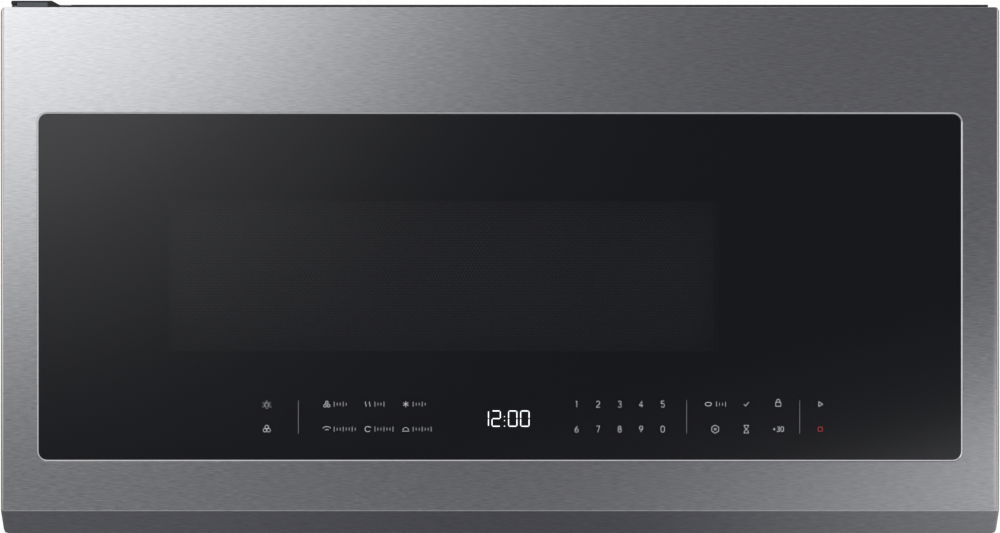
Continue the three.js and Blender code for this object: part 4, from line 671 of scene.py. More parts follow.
# The trim's face, from its outer edge inwards: inset and depth behind the front. A short steep slope
# rises to a narrow crest, and a long flat one falls to the glass.
TRIM_WIDTH = 1.15
TRIM_CREST = ((0, 0.3), (0.06, 0.16), (0.2, 0.05), (0.34, 0), (0.42, 0), (0.6, 0.07), (0.85, 0.21),
              (1.08, 0.38), (TRIM_WIDTH, 0.7))
# The screen's perforated field: its left, lower, right and upper margin inside its node, and how far
# the rim reaches over it and lies behind its front.
FIELD_MARGINS, RIM_OVERLAP, RIM_STEP = (17.2, 17.0, 17.4, 17.0), 0.6, 0.2
# The black print: its margin inside the glass, its gap behind the glass, and its thickness.
PRINT_MARGIN, PRINT_GAP, PRINT_THICKNESS = 0.5, 0.02, 0.1


def trim_box():
    """Outer edge of the polished trim: its node, fitted to the opening in the skin."""
    low, high = box_mm("window_trim")
    return low + TRIM_LOW_FIT, high + TRIM_HIGH_FIT


def window_box():
    """The window opening in the door skin: the trim's box and the hairline gap round it."""
    low, high = trim_box()
    return low - TRIM_GROOVE, high + TRIM_GROOVE


def side_offset(corners, distances):
    """Corners of an open line of points (y, z) whose every side is moved inwards by its own
    distance: each new corner is where its two moved sides cross."""
    corners = np.asarray(corners, float)
    along = unit(np.diff(corners, axis=0))
    normal = np.stack([-along[:, 1], along[:, 0]], -1)
    level = (normal * corners[:-1]).sum(1) + distances
    pairs = np.stack([normal[:-1], normal[1:]], 1)
    levels = np.stack([level[:-1], level[1:]], 1)
    crossing = np.linalg.solve(pairs, levels[..., None])[..., 0]
    first = corners[0] + normal[0] * distances[0]
    last = corners[-1] + normal[-1] * distances[-1]
    return np.concatenate([first[None], crossing, last[None]])


def door_skin_shape(sizes):
    """The folded skin, P(u, v). v runs down a section in Y and Z: roof, front, bend, finger pull,
    its back and the floor. u runs across: at each end a quarter circle of radius r(v) carries the
    section P to the section O, whose sides lie r(v) further in:
    x = half - r (1 - sin a), (y, z) = P + (1 - cos a)(O - P), for a from 0 to 90 degrees."""
    low, high = box_mm("door_panel")
    half, front, back, roof, foot = high[0], low[1], high[1], high[2] - ROOF_DROP, low[2]
    bend, pull_back, floor = foot + BEND_RISE, front + PULL_BACK_DEPTH, foot + FLOOR_RISE
    corners = [(back, roof), (front, roof), (front, bend), (front + PULL_FOOT_DEPTH, foot),
               (pull_back, foot), (pull_back, floor), (back, floor)]
    edge, fold = sizes.side_edge / MM, sizes.fold / MM
    radii = np.array([sizes.corner / MM, edge, edge, sizes.lip_corner / MM, 0.0, 0.0])
    outer_arcs = rounded_corners(corners, [0, fold, *LOWER_FOLDS], FOLD_STEPS)
    inner_arcs = rounded_corners(side_offset(corners, radii), INNER_FOLDS, FOLD_STEPS)
    blend = np.linspace(0, 1, FOLD_STEPS + 1)
    pairs = np.stack([np.r_[radii[0], radii], np.r_[radii, radii[-1]]], 1)
    arc_radii = pairs[:, :1] * (1 - blend) + pairs[:, 1:] * blend
    window_low, window_high = window_box()
    gap_low, gap_high = window_low[[0, 2]] - BORDER_WIDTH, window_high[[0, 2]] + BORDER_WIDTH
    gap_rows = np.linspace(gap_high[1], gap_low[1], BORDER_ROWS)
    rows = np.r_[outer_arcs[1, -1, 1] - FOLD_MARGIN, gap_rows, outer_arcs[2, 0, 1] + FOLD_MARGIN]
    line_out = np.stack([np.full(len(rows), front), rows], -1)
    inner_rows = np.clip(rows, inner_arcs[2, 0, 1] + INNER_FOLD_MARGIN,
                         inner_arcs[1, -1, 1] - INNER_FOLD_MARGIN)
    line_in = np.stack([np.full(len(rows), front + edge), inner_rows], -1)
    outer = np.concatenate([outer_arcs[:2].reshape(-1, 2), line_out, outer_arcs[2:].reshape(-1, 2)])
    inner = np.concatenate([inner_arcs[:2].reshape(-1, 2), line_in, inner_arcs[2:].reshape(-1, 2)])
    radius = np.concatenate([arc_radii[:2].ravel(), np.full(len(rows), edge), arc_radii[2:].ravel()])
    angle = np.linspace(0, np.pi / 2, SIDE_STEPS + 1)[:, None, None]
    wall_x = half - radius[None] * (1 - np.sin(angle[:, :, 0]))
    wall_yz = outer[None] + (1 - np.cos(angle)) * (inner - outer)[None]
    gap_columns = np.linspace(gap_low[0], gap_high[0], BORDER_COLUMNS)
    across = np.r_[-half + SIDE_MARGIN, gap_columns, half - SIDE_MARGIN]
    flat_x = np.broadcast_to(across[:, None], (len(across), len(outer)))
    flat_yz = np.broadcast_to(outer[None], (len(across),) + outer.shape)
    x = np.concatenate([-wall_x[::-1], flat_x, wall_x])
    yz = np.concatenate([wall_yz[::-1], flat_yz, wall_yz])
    points = np.concatenate([x[..., None], yz], -1)
    count, size = x.shape
    points = points.reshape(-1, 3)
    faces = grid_faces(count, size)
    middle = points[faces].mean(1)
    on_front = 0.01
    inside = (np.abs(middle[:, 0]) < gap_high[0]) & (middle[:, 1] < front + on_front)
    inside &= (middle[:, 2] > gap_low[1]) & (middle[:, 2] < gap_high[1])
    end = np.arange(size)[None]
    skin = points, [faces[~inside], end[:, ::-1], end + (count - 1) * size]
    return together(skin, window_border(window_low, window_high, gap_columns, gap_rows[::-1], front))


def window_border(low, high, columns, rows, front):
    """The flat border between the rounded window opening and the rectangle that its columns and
    rows end at, and the edge folded back round the opening: a quarter circle and a short wall.
    Each corner of the rectangle meets a whole arc of the opening."""
    corners = [(low[0], low[2]), (high[0], low[2]), (high[0], high[2]), (low[0], high[2])]
    arcs = rounded_corners(corners, OPENING_RADIUS, CORNER_STEPS)
    opening, rectangle_line = [], []
    sides = [np.stack([columns, np.full(len(columns), rows[0])], -1),
             np.stack([np.full(len(rows), columns[-1]), rows], -1),
             np.stack([columns[::-1], np.full(len(columns), rows[-1])], -1),
             np.stack([np.full(len(rows), columns[0]), rows[::-1]], -1)]
    for k, side in enumerate(sides):
        share = np.linspace(0, 1, len(side) + 2)[1:-1, None]
        straight = arcs[k, -1] * (1 - share) + arcs[(k + 1) % 4, 0] * share
        opening += [arcs[k], straight]
        rectangle_line += [np.repeat(side[:1], arcs.shape[1], 0), side]
    opening = np.concatenate(opening)
    turn = np.linspace(0, np.pi / 2, 5)
    section = [(-2 * OPENING_FOLD, 0)]
    section += [(OPENING_FOLD * (math.sin(t) - 1), OPENING_FOLD * (1 - math.cos(t))) for t in turn]
    section.append((0, OPENING_DEPTH))
    loops = [laid(np.concatenate(rectangle_line), front, "y")]
    loops += [laid(drawn_in(opening, inset), front + depth, "y") for inset, depth in section]
    return loft(np.stack(loops), ends=False)


def with_thickness(piece, thickness, offset=-1.0):
    """Gives an open sheet its thickness: behind its outer face, or on both sides with offset 0."""
    solid = piece.modifiers.new("Thickness", "SOLIDIFY")
    solid.thickness = thickness
    solid.offset = offset
    solid.use_even_offset = False


def screen_sheet(low, high, y, pitch, hole):
    """Perforated sheet: staggered hexagonal cells, each a ring of six quads from its hexagon to a
    six-sided hole. Rows lie pitch times the sine of 60 degrees apart, and every second one is
    shifted by half a pitch."""
    rise = pitch * math.sin(math.pi / 3)
    columns = int((high[0] - low[0]) // pitch)
    rows = int((high[1] - low[1]) // rise)
    i, j = np.meshgrid(np.arange(rows), np.arange(columns), indexing="ij")
    x = low[0] + pitch * (0.25 + j + 0.5 * (i % 2))
    z = low[1] + rise * (0.5 + i)
    angle = np.radians(30 + 60 * np.arange(6))
    ring = np.stack([np.cos(angle), np.sin(angle)], -1)
    hexagon, opening = laid(ring * pitch / math.sqrt(3), y, "y"), laid(ring * hole / 2, y, "y")
    cell = loft(np.stack([hexagon, opening]), ends=False)
    return repeated(cell, np.stack([x.ravel(), np.zeros(x.size), z.ravel()], -1))


def flat_frame(outline, opening, front, back):
    """A flat frame between two outlines of as many points, from front to back along Y."""
    return loft(np.stack([
        laid(outline, front, "y"), laid(opening, front, "y"),
        laid(opening, back, "y"), laid(outline, back, "y")]), ring=True)


# -------------------------------------------------------------- small pieces
def expanded_mesh(low, high, level, cell, shift):
    """Expanded sheet: staggered diamonds, each a ring of four quads from the diamond to its hole.
    The two level corners of a hole dip and the two others rise, as slit and stretched strands do."""
    width, depth = cell
    hole_share, dip = 0.72, 0.35
    columns, rows = int((high[0] - low[0]) // width), int((high[1] - low[1]) // (depth / 2))
    i, j = np.meshgrid(np.arange(rows), np.arange(columns), indexing="ij")
    x = low[0] + width * (0.25 + shift / 2 + j + 0.5 * (i % 2))
    y = low[1] + depth / 2 * (i + 0.5)
    keep = (x < high[0] - width / 2).ravel()
    corner = np.array([(0.5, 0), (0, 0.5), (-0.5, 0), (0, -0.5)]) * (width, depth)
    outer = laid(corner, level, "z")
    hole = laid(corner * hole_share, level + np.array([-dip, dip, -dip, dip]), "z")
    places = np.stack([x.ravel(), y.ravel(), np.zeros(x.size)], -1)[keep]
    return repeated(loft(np.stack([outer, hole]), ends=False), places)


def wire_arc(centre, radius, thick, start, end, steps=20, sides=8):
    """A round wire bent in plan: (radius + thick cos b) along the ray at angle a, thick sin b up."""
    a = np.radians(np.linspace(start, end, steps + 1))[:, None]
    b = np.linspace(0, 2 * np.pi, sides, endpoint=False)[None]
    reach = radius + thick * np.cos(b)
    rise = np.broadcast_to(thick * np.sin(b), (steps + 1, sides))
    points = np.stack([reach * np.cos(a), reach * np.sin(a), rise], -1)
    return loft(points + np.asarray(centre, float))


def ribbed_lens(low, high, pitch):
    """A lens plate whose underside has half-round flutes across it: its depth is a cosine of X with
    the pitch, which dies away over the last 3 mm towards the rim."""
    flute_steps, rows, rim_width, amplitude = 8, 15, 3, 0.35
    x = np.linspace(low[0], high[0], int((high[0] - low[0]) / pitch * flute_steps) + 1)
    y = np.linspace(low[1], high[1], rows)
    rim = np.minimum(1, np.minimum(x - low[0], high[0] - x) / rim_width)[None]
    rim = rim * np.minimum(1, np.minimum(y - low[1], high[1] - y) / rim_width)[:, None]
    depth = amplitude * rim * (1 - np.cos(2 * np.pi * x / pitch))[None]
    under = np.stack(np.broadcast_arrays(x[None], y[:, None], low[2] + depth), -1)
    over = np.stack(np.broadcast_arrays(x[None, ::-1], y[:, None], np.full(depth.shape, high[2])), -1)
    return loft(np.concatenate([under, over], 1))


def roller_profile(radius, half):
    """Closed section (radius, place along the axle) of a wheel with rounded rims and a bore."""
    bore, bore_round, rim_round = 2.2, 0.3, 1.2
    corners = [(bore, -half), (radius, -half), (radius, half), (bore, half)]
    section = outline_of(corners, [bore_round, rim_round, rim_round, bore_round], 4)
    return np.concatenate([section, section[:1]])


def raised_rib(place, half, level, rise, axis):
    """A pressed rib with round ends, rooted just under the sheet: its outline is drawn in as it
    climbs along half a cosine, and a flat crown closes it."""
    root, slope, crown = 0.2, 5, 5.6
    place, half = np.asarray(place, float), np.asarray(half, float)
    outline = rectangle(place - half, place + half, half.min() - 0.2, 8)
    climb = np.linspace(0, np.pi, 7)
    section = [(0.0, level - root)]
    section += [(slope * t / np.pi, level + rise * (1 - math.cos(t)) / 2) for t in climb]
    return carried(outline, section + [(crown, level + rise)], axis)


def screw_head(axis, way, radius=3.4, height=1.3):
    """A pan head with a cross recess, rooted just under the sheet. Its loops round the axis are
    circles up to the crown; in the recess their radius follows 0.36 + 0.64 cos(2a) to the power 8,
    which has four arms."""
    angle = np.linspace(0, 2 * np.pi, 32, endpoint=False)
    circle = radius * np.stack([np.cos(angle), np.sin(angle)], -1)
    plain, cross = np.ones(len(angle)), 0.36 + 0.64 * np.cos(2 * angle) ** 8
    root = -0.1
    head = [(1.0, root), (1.0, 0.45 * height), (0.88, 0.8 * height), (0.62, height)]
    recess = [(0.5, height), (0.32, 0.35 * height)]
    rings = [(plain * share, rise) for share, rise in head]
    rings += [(cross * share, rise) for share, rise in recess]
    return loft(np.stack([laid(circle * reach[:, None], way * rise, axis) for reach, rise in rings]))


def channel_section(low, high, wide, lip):
    """Closed section (inset, height) of a flattened channel, lip thick and open inwards: its lower
    half, the same mirrored, and the two corners inside. Its outer corners are cut twice."""
    half = [(wide, lip), (wide, 0.3), (wide - 0.4, 0), (0.8, 0), (0.25, 0.25), (0, 0.8)]
    lower = [(inset, low + rise) for inset, rise in half]
    upper = [(inset, high - rise) for inset, rise in reversed(half)]
    return lower + upper + [(lip, high - lip), (lip, low + lip)]


# --------------------------------------------------------------------- marks
# Ink stands this far in front of the glass, in millimetres.
INK_THICKNESS = 0.06


def polyline(*corners):
    """A line of points (x, z) through corners."""
    return np.array(corners, float)


def joined(*lines):
    """Lines of points, one after the other, as one."""
    return np.concatenate(lines)


def numeral_lines(digit):
    """A digit, one unit high and 0.6 wide, as lines of points (x, z) built from arcs and corners."""
    top, low, half = (0, 0.22), (0, -0.22), 0.28
    return {
        "0": [joined(arc(top, half, 0, 180, 10), arc(low, half, 180, 360, 10), [(half, 0.22)])],
        "1": [polyline((-0.16, 0.34), (0.04, 0.5), (0.04, -0.5))],
        "2": [joined(arc(top, half, 165, -35, 10), [(-half, -0.5), (half + 0.02, -0.5)])],
        "3": [joined(arc((0, 0.25), 0.25, 155, -90, 10), arc((0, -0.25), 0.27, 90, -155, 10))],
        "4": [polyline((0.12, -0.5), (0.12, 0.5), (-0.3, -0.2), (0.3, -0.2))],
        "5": [joined([(0.25, 0.5), (-0.2, 0.5), (-0.24, 0.08)], arc((0, -0.2), 0.3, 115, -145, 10))],
        "6": [joined([(0.12, 0.5), (-0.2, 0.02)], arc(low, half, 150, 500, 14))],
        "7": [polyline((-0.28, 0.5), (0.28, 0.5), (-0.08, -0.5))],
        "8": [joined(arc((0, 0.25), 0.24, -90, 270, 12), arc((0, -0.24), 0.27, 90, -270, 12))],
        "9": [joined([(-0.12, -0.5), (0.2, -0.02)], arc(top, half, -30, 320, 14))],
        "+": [polyline((-0.24, 0), (0.24, 0)), polyline((0, -0.24), (0, 0.24))],
    }[digit]


def numerals(text, centre, height, width, y):
    """Digits in a row, drawn in strokes of printed ink. Their middles lie 0.8 of their height apart."""
    shapes = []
    for k, digit in enumerate(text):
        shift = (k - (len(text) - 1) / 2) * height * 0.8
        for points in numeral_lines(digit):
            shapes.append(stroke(points * height + centre + (shift, 0), width, y, INK_THICKNESS))
    return together(*shapes)


# Height, width and line of a clock digit, the gap at each end of a bar, and the radius of a dot, in
# millimetres.
CLOCK_HEIGHT, CLOCK_WIDTH, CLOCK_LINE, CLOCK_GAP, CLOCK_DOT = 12.3, 7.0, 0.68, 0.3, 0.4
# Places of the four digits across, and of the three dots (across, up), from the middle of the display.
CLOCK_DIGITS, CLOCK_LEVEL = (-17.9, -8.9, 3.7, 12.9), 1.2
CLOCK_DOTS = ((-2.6, 2.7), (-2.6, -0.3), (-2.6, -4.5))
CLOCK_SEGMENTS = {"1": "bc", "2": "abged", "0": "abcdef"}


def clock_bar(start, end, y):
    """A bar of a clock digit: a hexagon whose long sides lie along its line."""
    along = (end - start) / math.hypot(*(end - start))
    across = np.array([-along[1], along[0]]) * CLOCK_LINE / 2
    a, b, tip = start + along * CLOCK_GAP, end - along * CLOCK_GAP, along * CLOCK_LINE / 2
    corners = [a, a + tip - across, b - tip - across, b, b - tip + across, a + tip + across]
    return carried(np.stack(corners), [(0, y), (0, y + INK_THICKNESS)], "y")


def clock_segments(centre, y):
    """A seven-segment 12:00, whose bars lie on the frames of its digits, and its dots."""
    half, tall = (CLOCK_WIDTH - CLOCK_LINE) / 2, (CLOCK_HEIGHT - CLOCK_LINE) / 2
    ends = {"a": ((-half, tall), (half, tall)), "b": ((half, 0), (half, tall)),
            "c": ((half, -tall), (half, 0)), "d": ((-half, -tall), (half, -tall)),
            "e": ((-half, -tall), (-half, 0)), "f": ((-half, 0), (-half, tall)),
            "g": ((-half, 0), (half, 0))}
    shapes = []
    for digit, shift in zip("1200", CLOCK_DIGITS):
        middle = centre + (shift, CLOCK_LEVEL)
        for name in CLOCK_SEGMENTS[digit]:
            start, end = ends[name]
            shapes.append(clock_bar(middle + start, middle + end, y))
    for place in CLOCK_DOTS:
        dot = arc(centre + place, CLOCK_DOT, 0, 315, 7)
        shapes.append(carried(dot, [(0, y), (0, y + INK_THICKNESS)], "y"))
    return together(*shapes)


def direction(angle):
    """The way (x, z) of an angle in degrees."""
    return np.array([math.cos(math.radians(angle)), math.sin(math.radians(angle))])


def circle(x, z, radius):
    """A circle of twelve points."""
    return arc((x, z), radius, 0, 330, 11)


def box_line(half, low, high):
    """A box from -half to half and from low to high, from its lower left corner and back to it."""
    return polyline((-half, low), (half, low), (half, high), (-half, high), (-half, low))


def ray(angle, start, end):
    """A line outwards from the middle, between two distances."""
    return np.outer([start, end], direction(angle))


def wave(x):
    """One upright turn of a sine."""
    return np.stack([x + 0.16 * np.sin(np.linspace(0, 2 * np.pi, 13)), np.linspace(-0.8, 0.8, 13)], -1)


def pictograms():
    """Plain line pictures for the touch keys. Each is a list of open lines and one of closed lines,
    of points (x, z) in a square from about -1 to 1."""
    return {
        "lamp": ([arc((0, 0.1), 0.55, -60, 240, 12), polyline((-0.2, -0.75), (0.2, -0.75))]
                 + [ray(angle, 0.95, 1.25) for angle in (-25, 35, 90, 145, 205)], []),
        "fan": ([], [arc(0.48 * direction(a), 0.42, a, a + 330, 11) for a in (90, 210, 330)]),
        "kernels": ([], [circle(-0.55, -0.5, 0.42), circle(0.55, -0.5, 0.42), circle(0, 0.5, 0.42)]),
        "waves": ([wave(-0.6), wave(0.6)], []),
        "flake": ([ray(angle, -0.95, 0.95) for angle in (30, 90, 150)], []),
        "arcs": ([arc((0, -0.8), radius, 40, 140, 8) for radius in (0.7, 1.6)], []),
        "cycle": ([arc((0, 0), 0.82, 40, 330, 14),
                   polyline((0.4, 0.82), (0.63, 0.53), (1.02, 0.72))], []),
        "dome": ([arc((0, -0.35), 0.85, 0, 180, 12), polyline((-1.05, -0.62), (1.05, -0.62))], []),
        "plate": ([], [circle(0, 0, 0.95) * [1, 0.6]]),
        "tick": ([polyline((-0.8, 0.0), (-0.2, -0.6), (0.85, 0.65))], []),
        "padlock": ([box_line(0.62, -0.85, 0.15),
                     joined([(-0.38, 0.15)], arc((0, 0.5), 0.38, 180, 0, 8), [(0.38, 0.15)])], []),
        "nut": ([], [arc((0, 0), 1.05, 30, 330, 5), circle(0, 0, 0.25)]),
        "sandglass": ([polyline((-0.68, 1.0), (0.68, 1.0)), polyline((-0.68, -1.0), (0.68, -1.0)),
                       polyline((-0.5, 1.0), (-0.5, 0.55), (0.5, -0.55), (0.5, -1.0)),
                       polyline((0.5, 1.0), (0.5, 0.55), (-0.5, -0.55), (-0.5, -1.0))], []),
        "play": ([polyline((-0.45, -0.75), (-0.45, 0.75), (0.75, 0), (-0.45, -0.75))], []),
        "square": ([box_line(0.6, -0.6, 0.6)], []),
    }


def picture(name, centre, reach, width, y):
    """A line picture of half size reach, drawn in strokes of printed ink."""
    open_lines, closed_lines = pictograms()[name]
    shapes = [stroke(points * reach + centre, width, y, INK_THICKNESS) for points in open_lines]
    shapes += [stroke(points * reach + centre, width, y, INK_THICKNESS, True) for points in closed_lines]
    return together(*shapes)


# Places of the touch marks from the middle of the display, in millimetres: (across, up), and for a
# picture its half size.
KEY_ROWS = (12.2, -6.8)
PICTURE_KEYS = {
    "lamp": (-183.2, 11.4, 3.0), "fan": (-183.2, -6.8, 3.3),
    "kernels": (-137.6, 12.2, 2.5), "waves": (-106.5, 12.2, 2.5), "flake": (-77.6, 12.2, 2.5),
    "arcs": (-137.6, -6.8, 2.5), "cycle": (-106.5, -6.8, 2.5), "dome": (-77.6, -6.8, 2.5),
    "plate": (152.3, 12.2, 2.5), "tick": (181.1, 12.2, 2.4), "padlock": (205.4, 13.2, 3.1),
    "nut": (157.5, -6.8, 2.9), "sandglass": (181.1, -6.8, 2.9), "play": (237.3, 12.2, 2.4)}
STOP_KEY, PLUS_KEY, DIGIT_COLUMNS = (237.3, -6.8, 2.6), (205.4, -6.8), (52.2, 68.5, 84.9, 101.2, 117.6)
# Level scales: a row of bars that starts at (across, up), every third one long, with the pitch and
# the half heights of the bars.
SCALE_PITCH, LONG_BAR, SHORT_BAR = 2.28, 1.9, 1.1
LEVEL_SCALES = {
    (-132.0, 12.2): 5, (-101.0, 12.2): 4, (-72.0, 12.2): 5, (-132.0, -6.8): 8, (-101.0, -6.8): 7,
    (-72.0, -6.8): 7, (158.5, 12.2): 4}
DIVIDERS, DIVIDER_FOOT, DIVIDER_TOP = (-159.2, 135.8, 221.7), -10.2, 15.2
# Width of a scale's bars, of the stop mark and of a divider, and height of the small digits, as
# shares of the marks' line and of the keys' digits.
SCALE_LINE, STOP_LINE, DIVIDER_LINE, SMALL_DIGITS = 0.8, 1.3, 1.2, 0.8


def touch_marks(sizes, centre, y):
    """All the grey marks of the touch keys: pictures, level scales and digits."""
    width, height = sizes.mark_line / MM, sizes.digit_height / MM
    shapes = [picture(name, centre + (x, z), reach, width, y)
              for name, (x, z, reach) in PICTURE_KEYS.items()]
    for (x, z), count in LEVEL_SCALES.items():
        across = centre[0] + x + SCALE_PITCH * np.arange(count)
        for first, half in enumerate((LONG_BAR, SHORT_BAR, SHORT_BAR)):
            bar = stroke([(0, -half), (0, half)], width * SCALE_LINE, y, INK_THICKNESS)
            shapes.append(repeated(bar, [(place, 0, centre[1] + z) for place in across[first::3]]))
    for row, digits in zip(KEY_ROWS, ("12345", "67890")):
        for x, digit in zip(DIGIT_COLUMNS, digits):
            shapes.append(numerals(digit, centre + (x, row), height, width, y))
    shapes.append(numerals("+30", centre + PLUS_KEY, height * SMALL_DIGITS, width, y))
    return together(*shapes)


def key_dividers(sizes, centre, y):
    """The upright lines between the groups of touch keys."""
    width = sizes.mark_line / MM * DIVIDER_LINE
    return together(*[
        stroke([centre + (x, DIVIDER_FOOT), centre + (x, DIVIDER_TOP)], width, y, INK_THICKNESS)
        for x in DIVIDERS])


# ----------------------------------------------------------------- operators
class DoorSkin(bpy.types.Operator):
    """Folds the brushed skin of the door, with its window opening and finger pull"""
    bl_idname = "microwave.door_skin"
    bl_label = "Door skin"

    def execute(self, context):
        sizes, _, _ = settings()
        piece = add_piece("door_skin", door_skin_shape(sizes), made_of("brushed_stainless"), "door",
                          ["door_panel"], closed=False)
        with_thickness(piece, sizes.skin)
        return {"FINISHED"}


class WindowTrim(bpy.types.Operator):
    """Runs the polished trim round the window"""
    bl_idname = "microwave.window_trim"
    bl_label = "Window trim"

    def execute(self, context):
        low, high = trim_box()
        outline = rectangle(low[[0, 2]], high[[0, 2]], TRIM_RADIUS, CORNER_STEPS)
        section = [(inset, low[1] + depth) for inset, depth in TRIM_CREST]
        section += [(TRIM_WIDTH, high[1]), (0, high[1])]
        add_piece("polished_window_trim", carried(outline, section, "y", ring=True),
                  made_of("polished_stainless"), "door", ["window_trim"])
        return {"FINISHED"}


class DoorGlass(bpy.types.Operator):
    """Sets the tinted glass, with ground edges, into the trim"""
    bl_idname = "microwave.door_glass"
    bl_label = "Door glass"

    def execute(self, context):
        low, high = box_mm("door_glass")
        trim_low, trim_high = trim_box()
        outline = rectangle(trim_low[[0, 2]] + GLASS_INSET, trim_high[[0, 2]] - GLASS_INSET,
                            GLASS_RADIUS, CORNER_STEPS)
        add_piece("tinted_door_glass", prism(outline, low[1], high[1], "y", 0.3),
                  made_of("tinted_glass"), "door", ["door_glass"])
        return {"FINISHED"}


class DoorScreen(bpy.types.Operator):
    """Perforates the microwave screen and prints the black border behind the glass"""
    bl_idname = "microwave.door_screen"
    bl_label = "Microwave screen"

    def execute(self, context):
        sizes, _, _ = settings()
        low, high = box_mm("door_screen")
        field_low, field_high = low[[0, 2]] + FIELD_MARGINS[:2], high[[0, 2]] - FIELD_MARGINS[2:]
        field = screen_sheet(field_low, field_high, low[1], sizes.screen_pitch / MM, sizes.screen_hole / MM)
        add_piece("perforated_screen", field, made_of("screen_paint"), "door",
                  ["door_screen"], closed=False)
        rim = flat_frame(rectangle(low[[0, 2]], high[[0, 2]], 2, 2),
                         rectangle(field_low + RIM_OVERLAP, field_high - RIM_OVERLAP, 2, 2),
                         low[1] + RIM_STEP, high[1])
        add_piece("screen_border", rim, made_of("powder_coat"), "door")
        glass_low, glass_high = box_mm("door_glass")
        behind = glass_high[1] + PRINT_GAP
        print_frame = flat_frame(
            rectangle(glass_low[[0, 2]] + PRINT_MARGIN, glass_high[[0, 2]] - PRINT_MARGIN, 4, 2),
            rectangle(field_low, field_high, 1, 2), behind, behind + PRINT_THICKNESS)
        add_piece("printed_glass_border", print_frame, made_of("black_print"), "door")
        return {"FINISHED"}


class TouchMarks(bpy.types.Operator):
    """Prints the touch marks and lights the clock on the glass"""
    bl_idname = "microwave.touch_marks"
    bl_label = "Touch marks and clock"

    def execute(self, context):
        sizes, _, _ = settings()
        display_low, display_high = box_mm("display_module")
        centre = (display_low[[0, 2]] + display_high[[0, 2]]) / 2
        y = box_mm("door_glass")[0][1] - INK_THICKNESS
        stop_x, stop_z, reach = STOP_KEY
        stop = picture("square", centre + (stop_x, stop_z), reach, sizes.mark_line / MM * STOP_LINE, y)
        for name, shape, finish, slot in (
                ("touch_key_marks", touch_marks(sizes, centre, y), "grey_ink", "grey_plastic"),
                ("touch_key_dividers", key_dividers(sizes, centre, y), "dim_ink", "grey_plastic"),
                ("stop_key_mark", stop, "red_ink", "grey_plastic"),
                ("clock_digits", clock_segments(centre, y), "lit_segments", "white_plastic")):
            add_piece(name, shape, made_of(finish), "door", flat_to=30)
        return {"FINISHED"}


# The cap over the upper hinge, in millimetres. Places across, from its node's left side: the lid's
# left edge, the end of its overhang, the block's left side, the top of its slope and its right side.
# Then the rise of the lid over the node, the lid's thickness, how far the overhang's foot lies under
# the node's top, the height of the slope's foot, and the radius of the edges.
CAP_LEFT, CAP_BODY, CAP_BLOCK, CAP_SLOPE, CAP_RIGHT = 2.8, 7.0, 30.7, 33.8, 40.1
CAP_RISE, CAP_PLATE, CAP_OVERHANG, CAP_TOE, CAP_EDGE = 0.4, 0.95, 2.6, 1.3, 0.2
# The face under the lid: its gap all round, and how far it lies behind the lid's front.
FACE_GAP, FACE_DEPTH = 0.05, 0.5


class HingeCover(bpy.types.Operator):
    """Moulds the cap over the upper hinge: a lid with an overhang, a sloped block, and a grey face that is
    a painted reflection
    """
    bl_idname = "microwave.hinge_cover"
    bl_label = "Hinge cover"

    def execute(self, context):
        low, high = box_mm("hinge_cover")
        left, body, block, slope, right = low[0] + np.array(
            [CAP_LEFT, CAP_BODY, CAP_BLOCK, CAP_SLOPE, CAP_RIGHT])
        top, foot, overhang = high[2] + CAP_RISE, low[2], high[2] - CAP_OVERHANG
        ceiling = top - CAP_PLATE
        lid = outline_of([(left, overhang), (body, overhang), (body, ceiling), (block, ceiling),
                          (block, foot), (right, foot), (right, foot + CAP_TOE), (slope, top), (left, top)],
                         [0.5, 0.35, 0.15, 0.15, 0.35, 0.4, 0.5, 1.6, 0.7], 4)
        face = rectangle((body + FACE_GAP, foot), (block - FACE_GAP, ceiling - FACE_GAP), 0.2, 2)
        add_piece("hinge_cap", prism(lid, low[1], high[1], "y", CAP_EDGE), made_of("black_abs"),
                  "cabinet", ["hinge_cover"])
        # The face's lighter grey is a painted reflection of the light on the cap's black front.
        add_piece("hinge_cap_painted_reflection_face", prism(face, low[1] + FACE_DEPTH, high[1], "y", CAP_EDGE),
                  made_of("abs_painted_reflection"), "cabinet")
        return {"FINISHED"}


# A grease filter, in millimetres: its frame's width and sheet, how far the mesh reaches under the
# frame, each layer's height and its shift in cells, the mesh's thickness, and the pull ring's
# radius, wire, height and distance from the frame's inner edge.
FRAME_WIDTH, FRAME_SHEET, MESH_OVERLAP, MESH_THICKNESS = 9.0, 1.0, 2, 0.5
MESH_LAYERS = ((2.4, 0.0), (5.4, 0.5))
RING_RADIUS, RING_WIRE, RING_HEIGHT, RING_OVERLAP = 9.0, 0.7, 0.75, 1.0


class GreaseFilters(bpy.types.Operator):
    """Builds the two grease filters: a channel frame, two layers of expanded mesh and a pull ring"""
    bl_idname = "microwave.grease_filters"
    bl_label = "Grease filters"

    def execute(self, context):
        sizes, _, _ = settings()
        for side in ("left", "right"):
            low, high = box_mm(f"grease_filter_{side}")
            body = f"filter_{side}"
            outline = rectangle(low[:2], high[:2], 4, 4)
            section = channel_section(low[2], high[2], FRAME_WIDTH, FRAME_SHEET)
            add_piece(f"filter_frame_{side}", carried(outline, section, "z", ring=True),
                      made_of("aluminium"), body, [f"grease_filter_{side}"])
            inset = FRAME_WIDTH - MESH_OVERLAP
            cells = sizes.filter_cell / MM * np.array([1.0, 0.5])
            layers = [expanded_mesh(low[:2] + inset, high[:2] - inset, low[2] + rise, cells, shift)
                      for rise, shift in MESH_LAYERS]
            mesh_piece = add_piece(f"filter_mesh_{side}", together(*layers), made_of("aluminium"),
                                   body, closed=False)
            with_thickness(mesh_piece, MESH_THICKNESS * MM, 0.0)
            middle = ((low[0] + high[0]) / 2, low[1] + FRAME_WIDTH - RING_OVERLAP, low[2] + RING_HEIGHT)
            add_piece(f"filter_pull_ring_{side}", wire_arc(middle, RING_RADIUS, RING_WIRE, 0, 180),
                      made_of("bright_steel"), body)
        return {"FINISHED"}


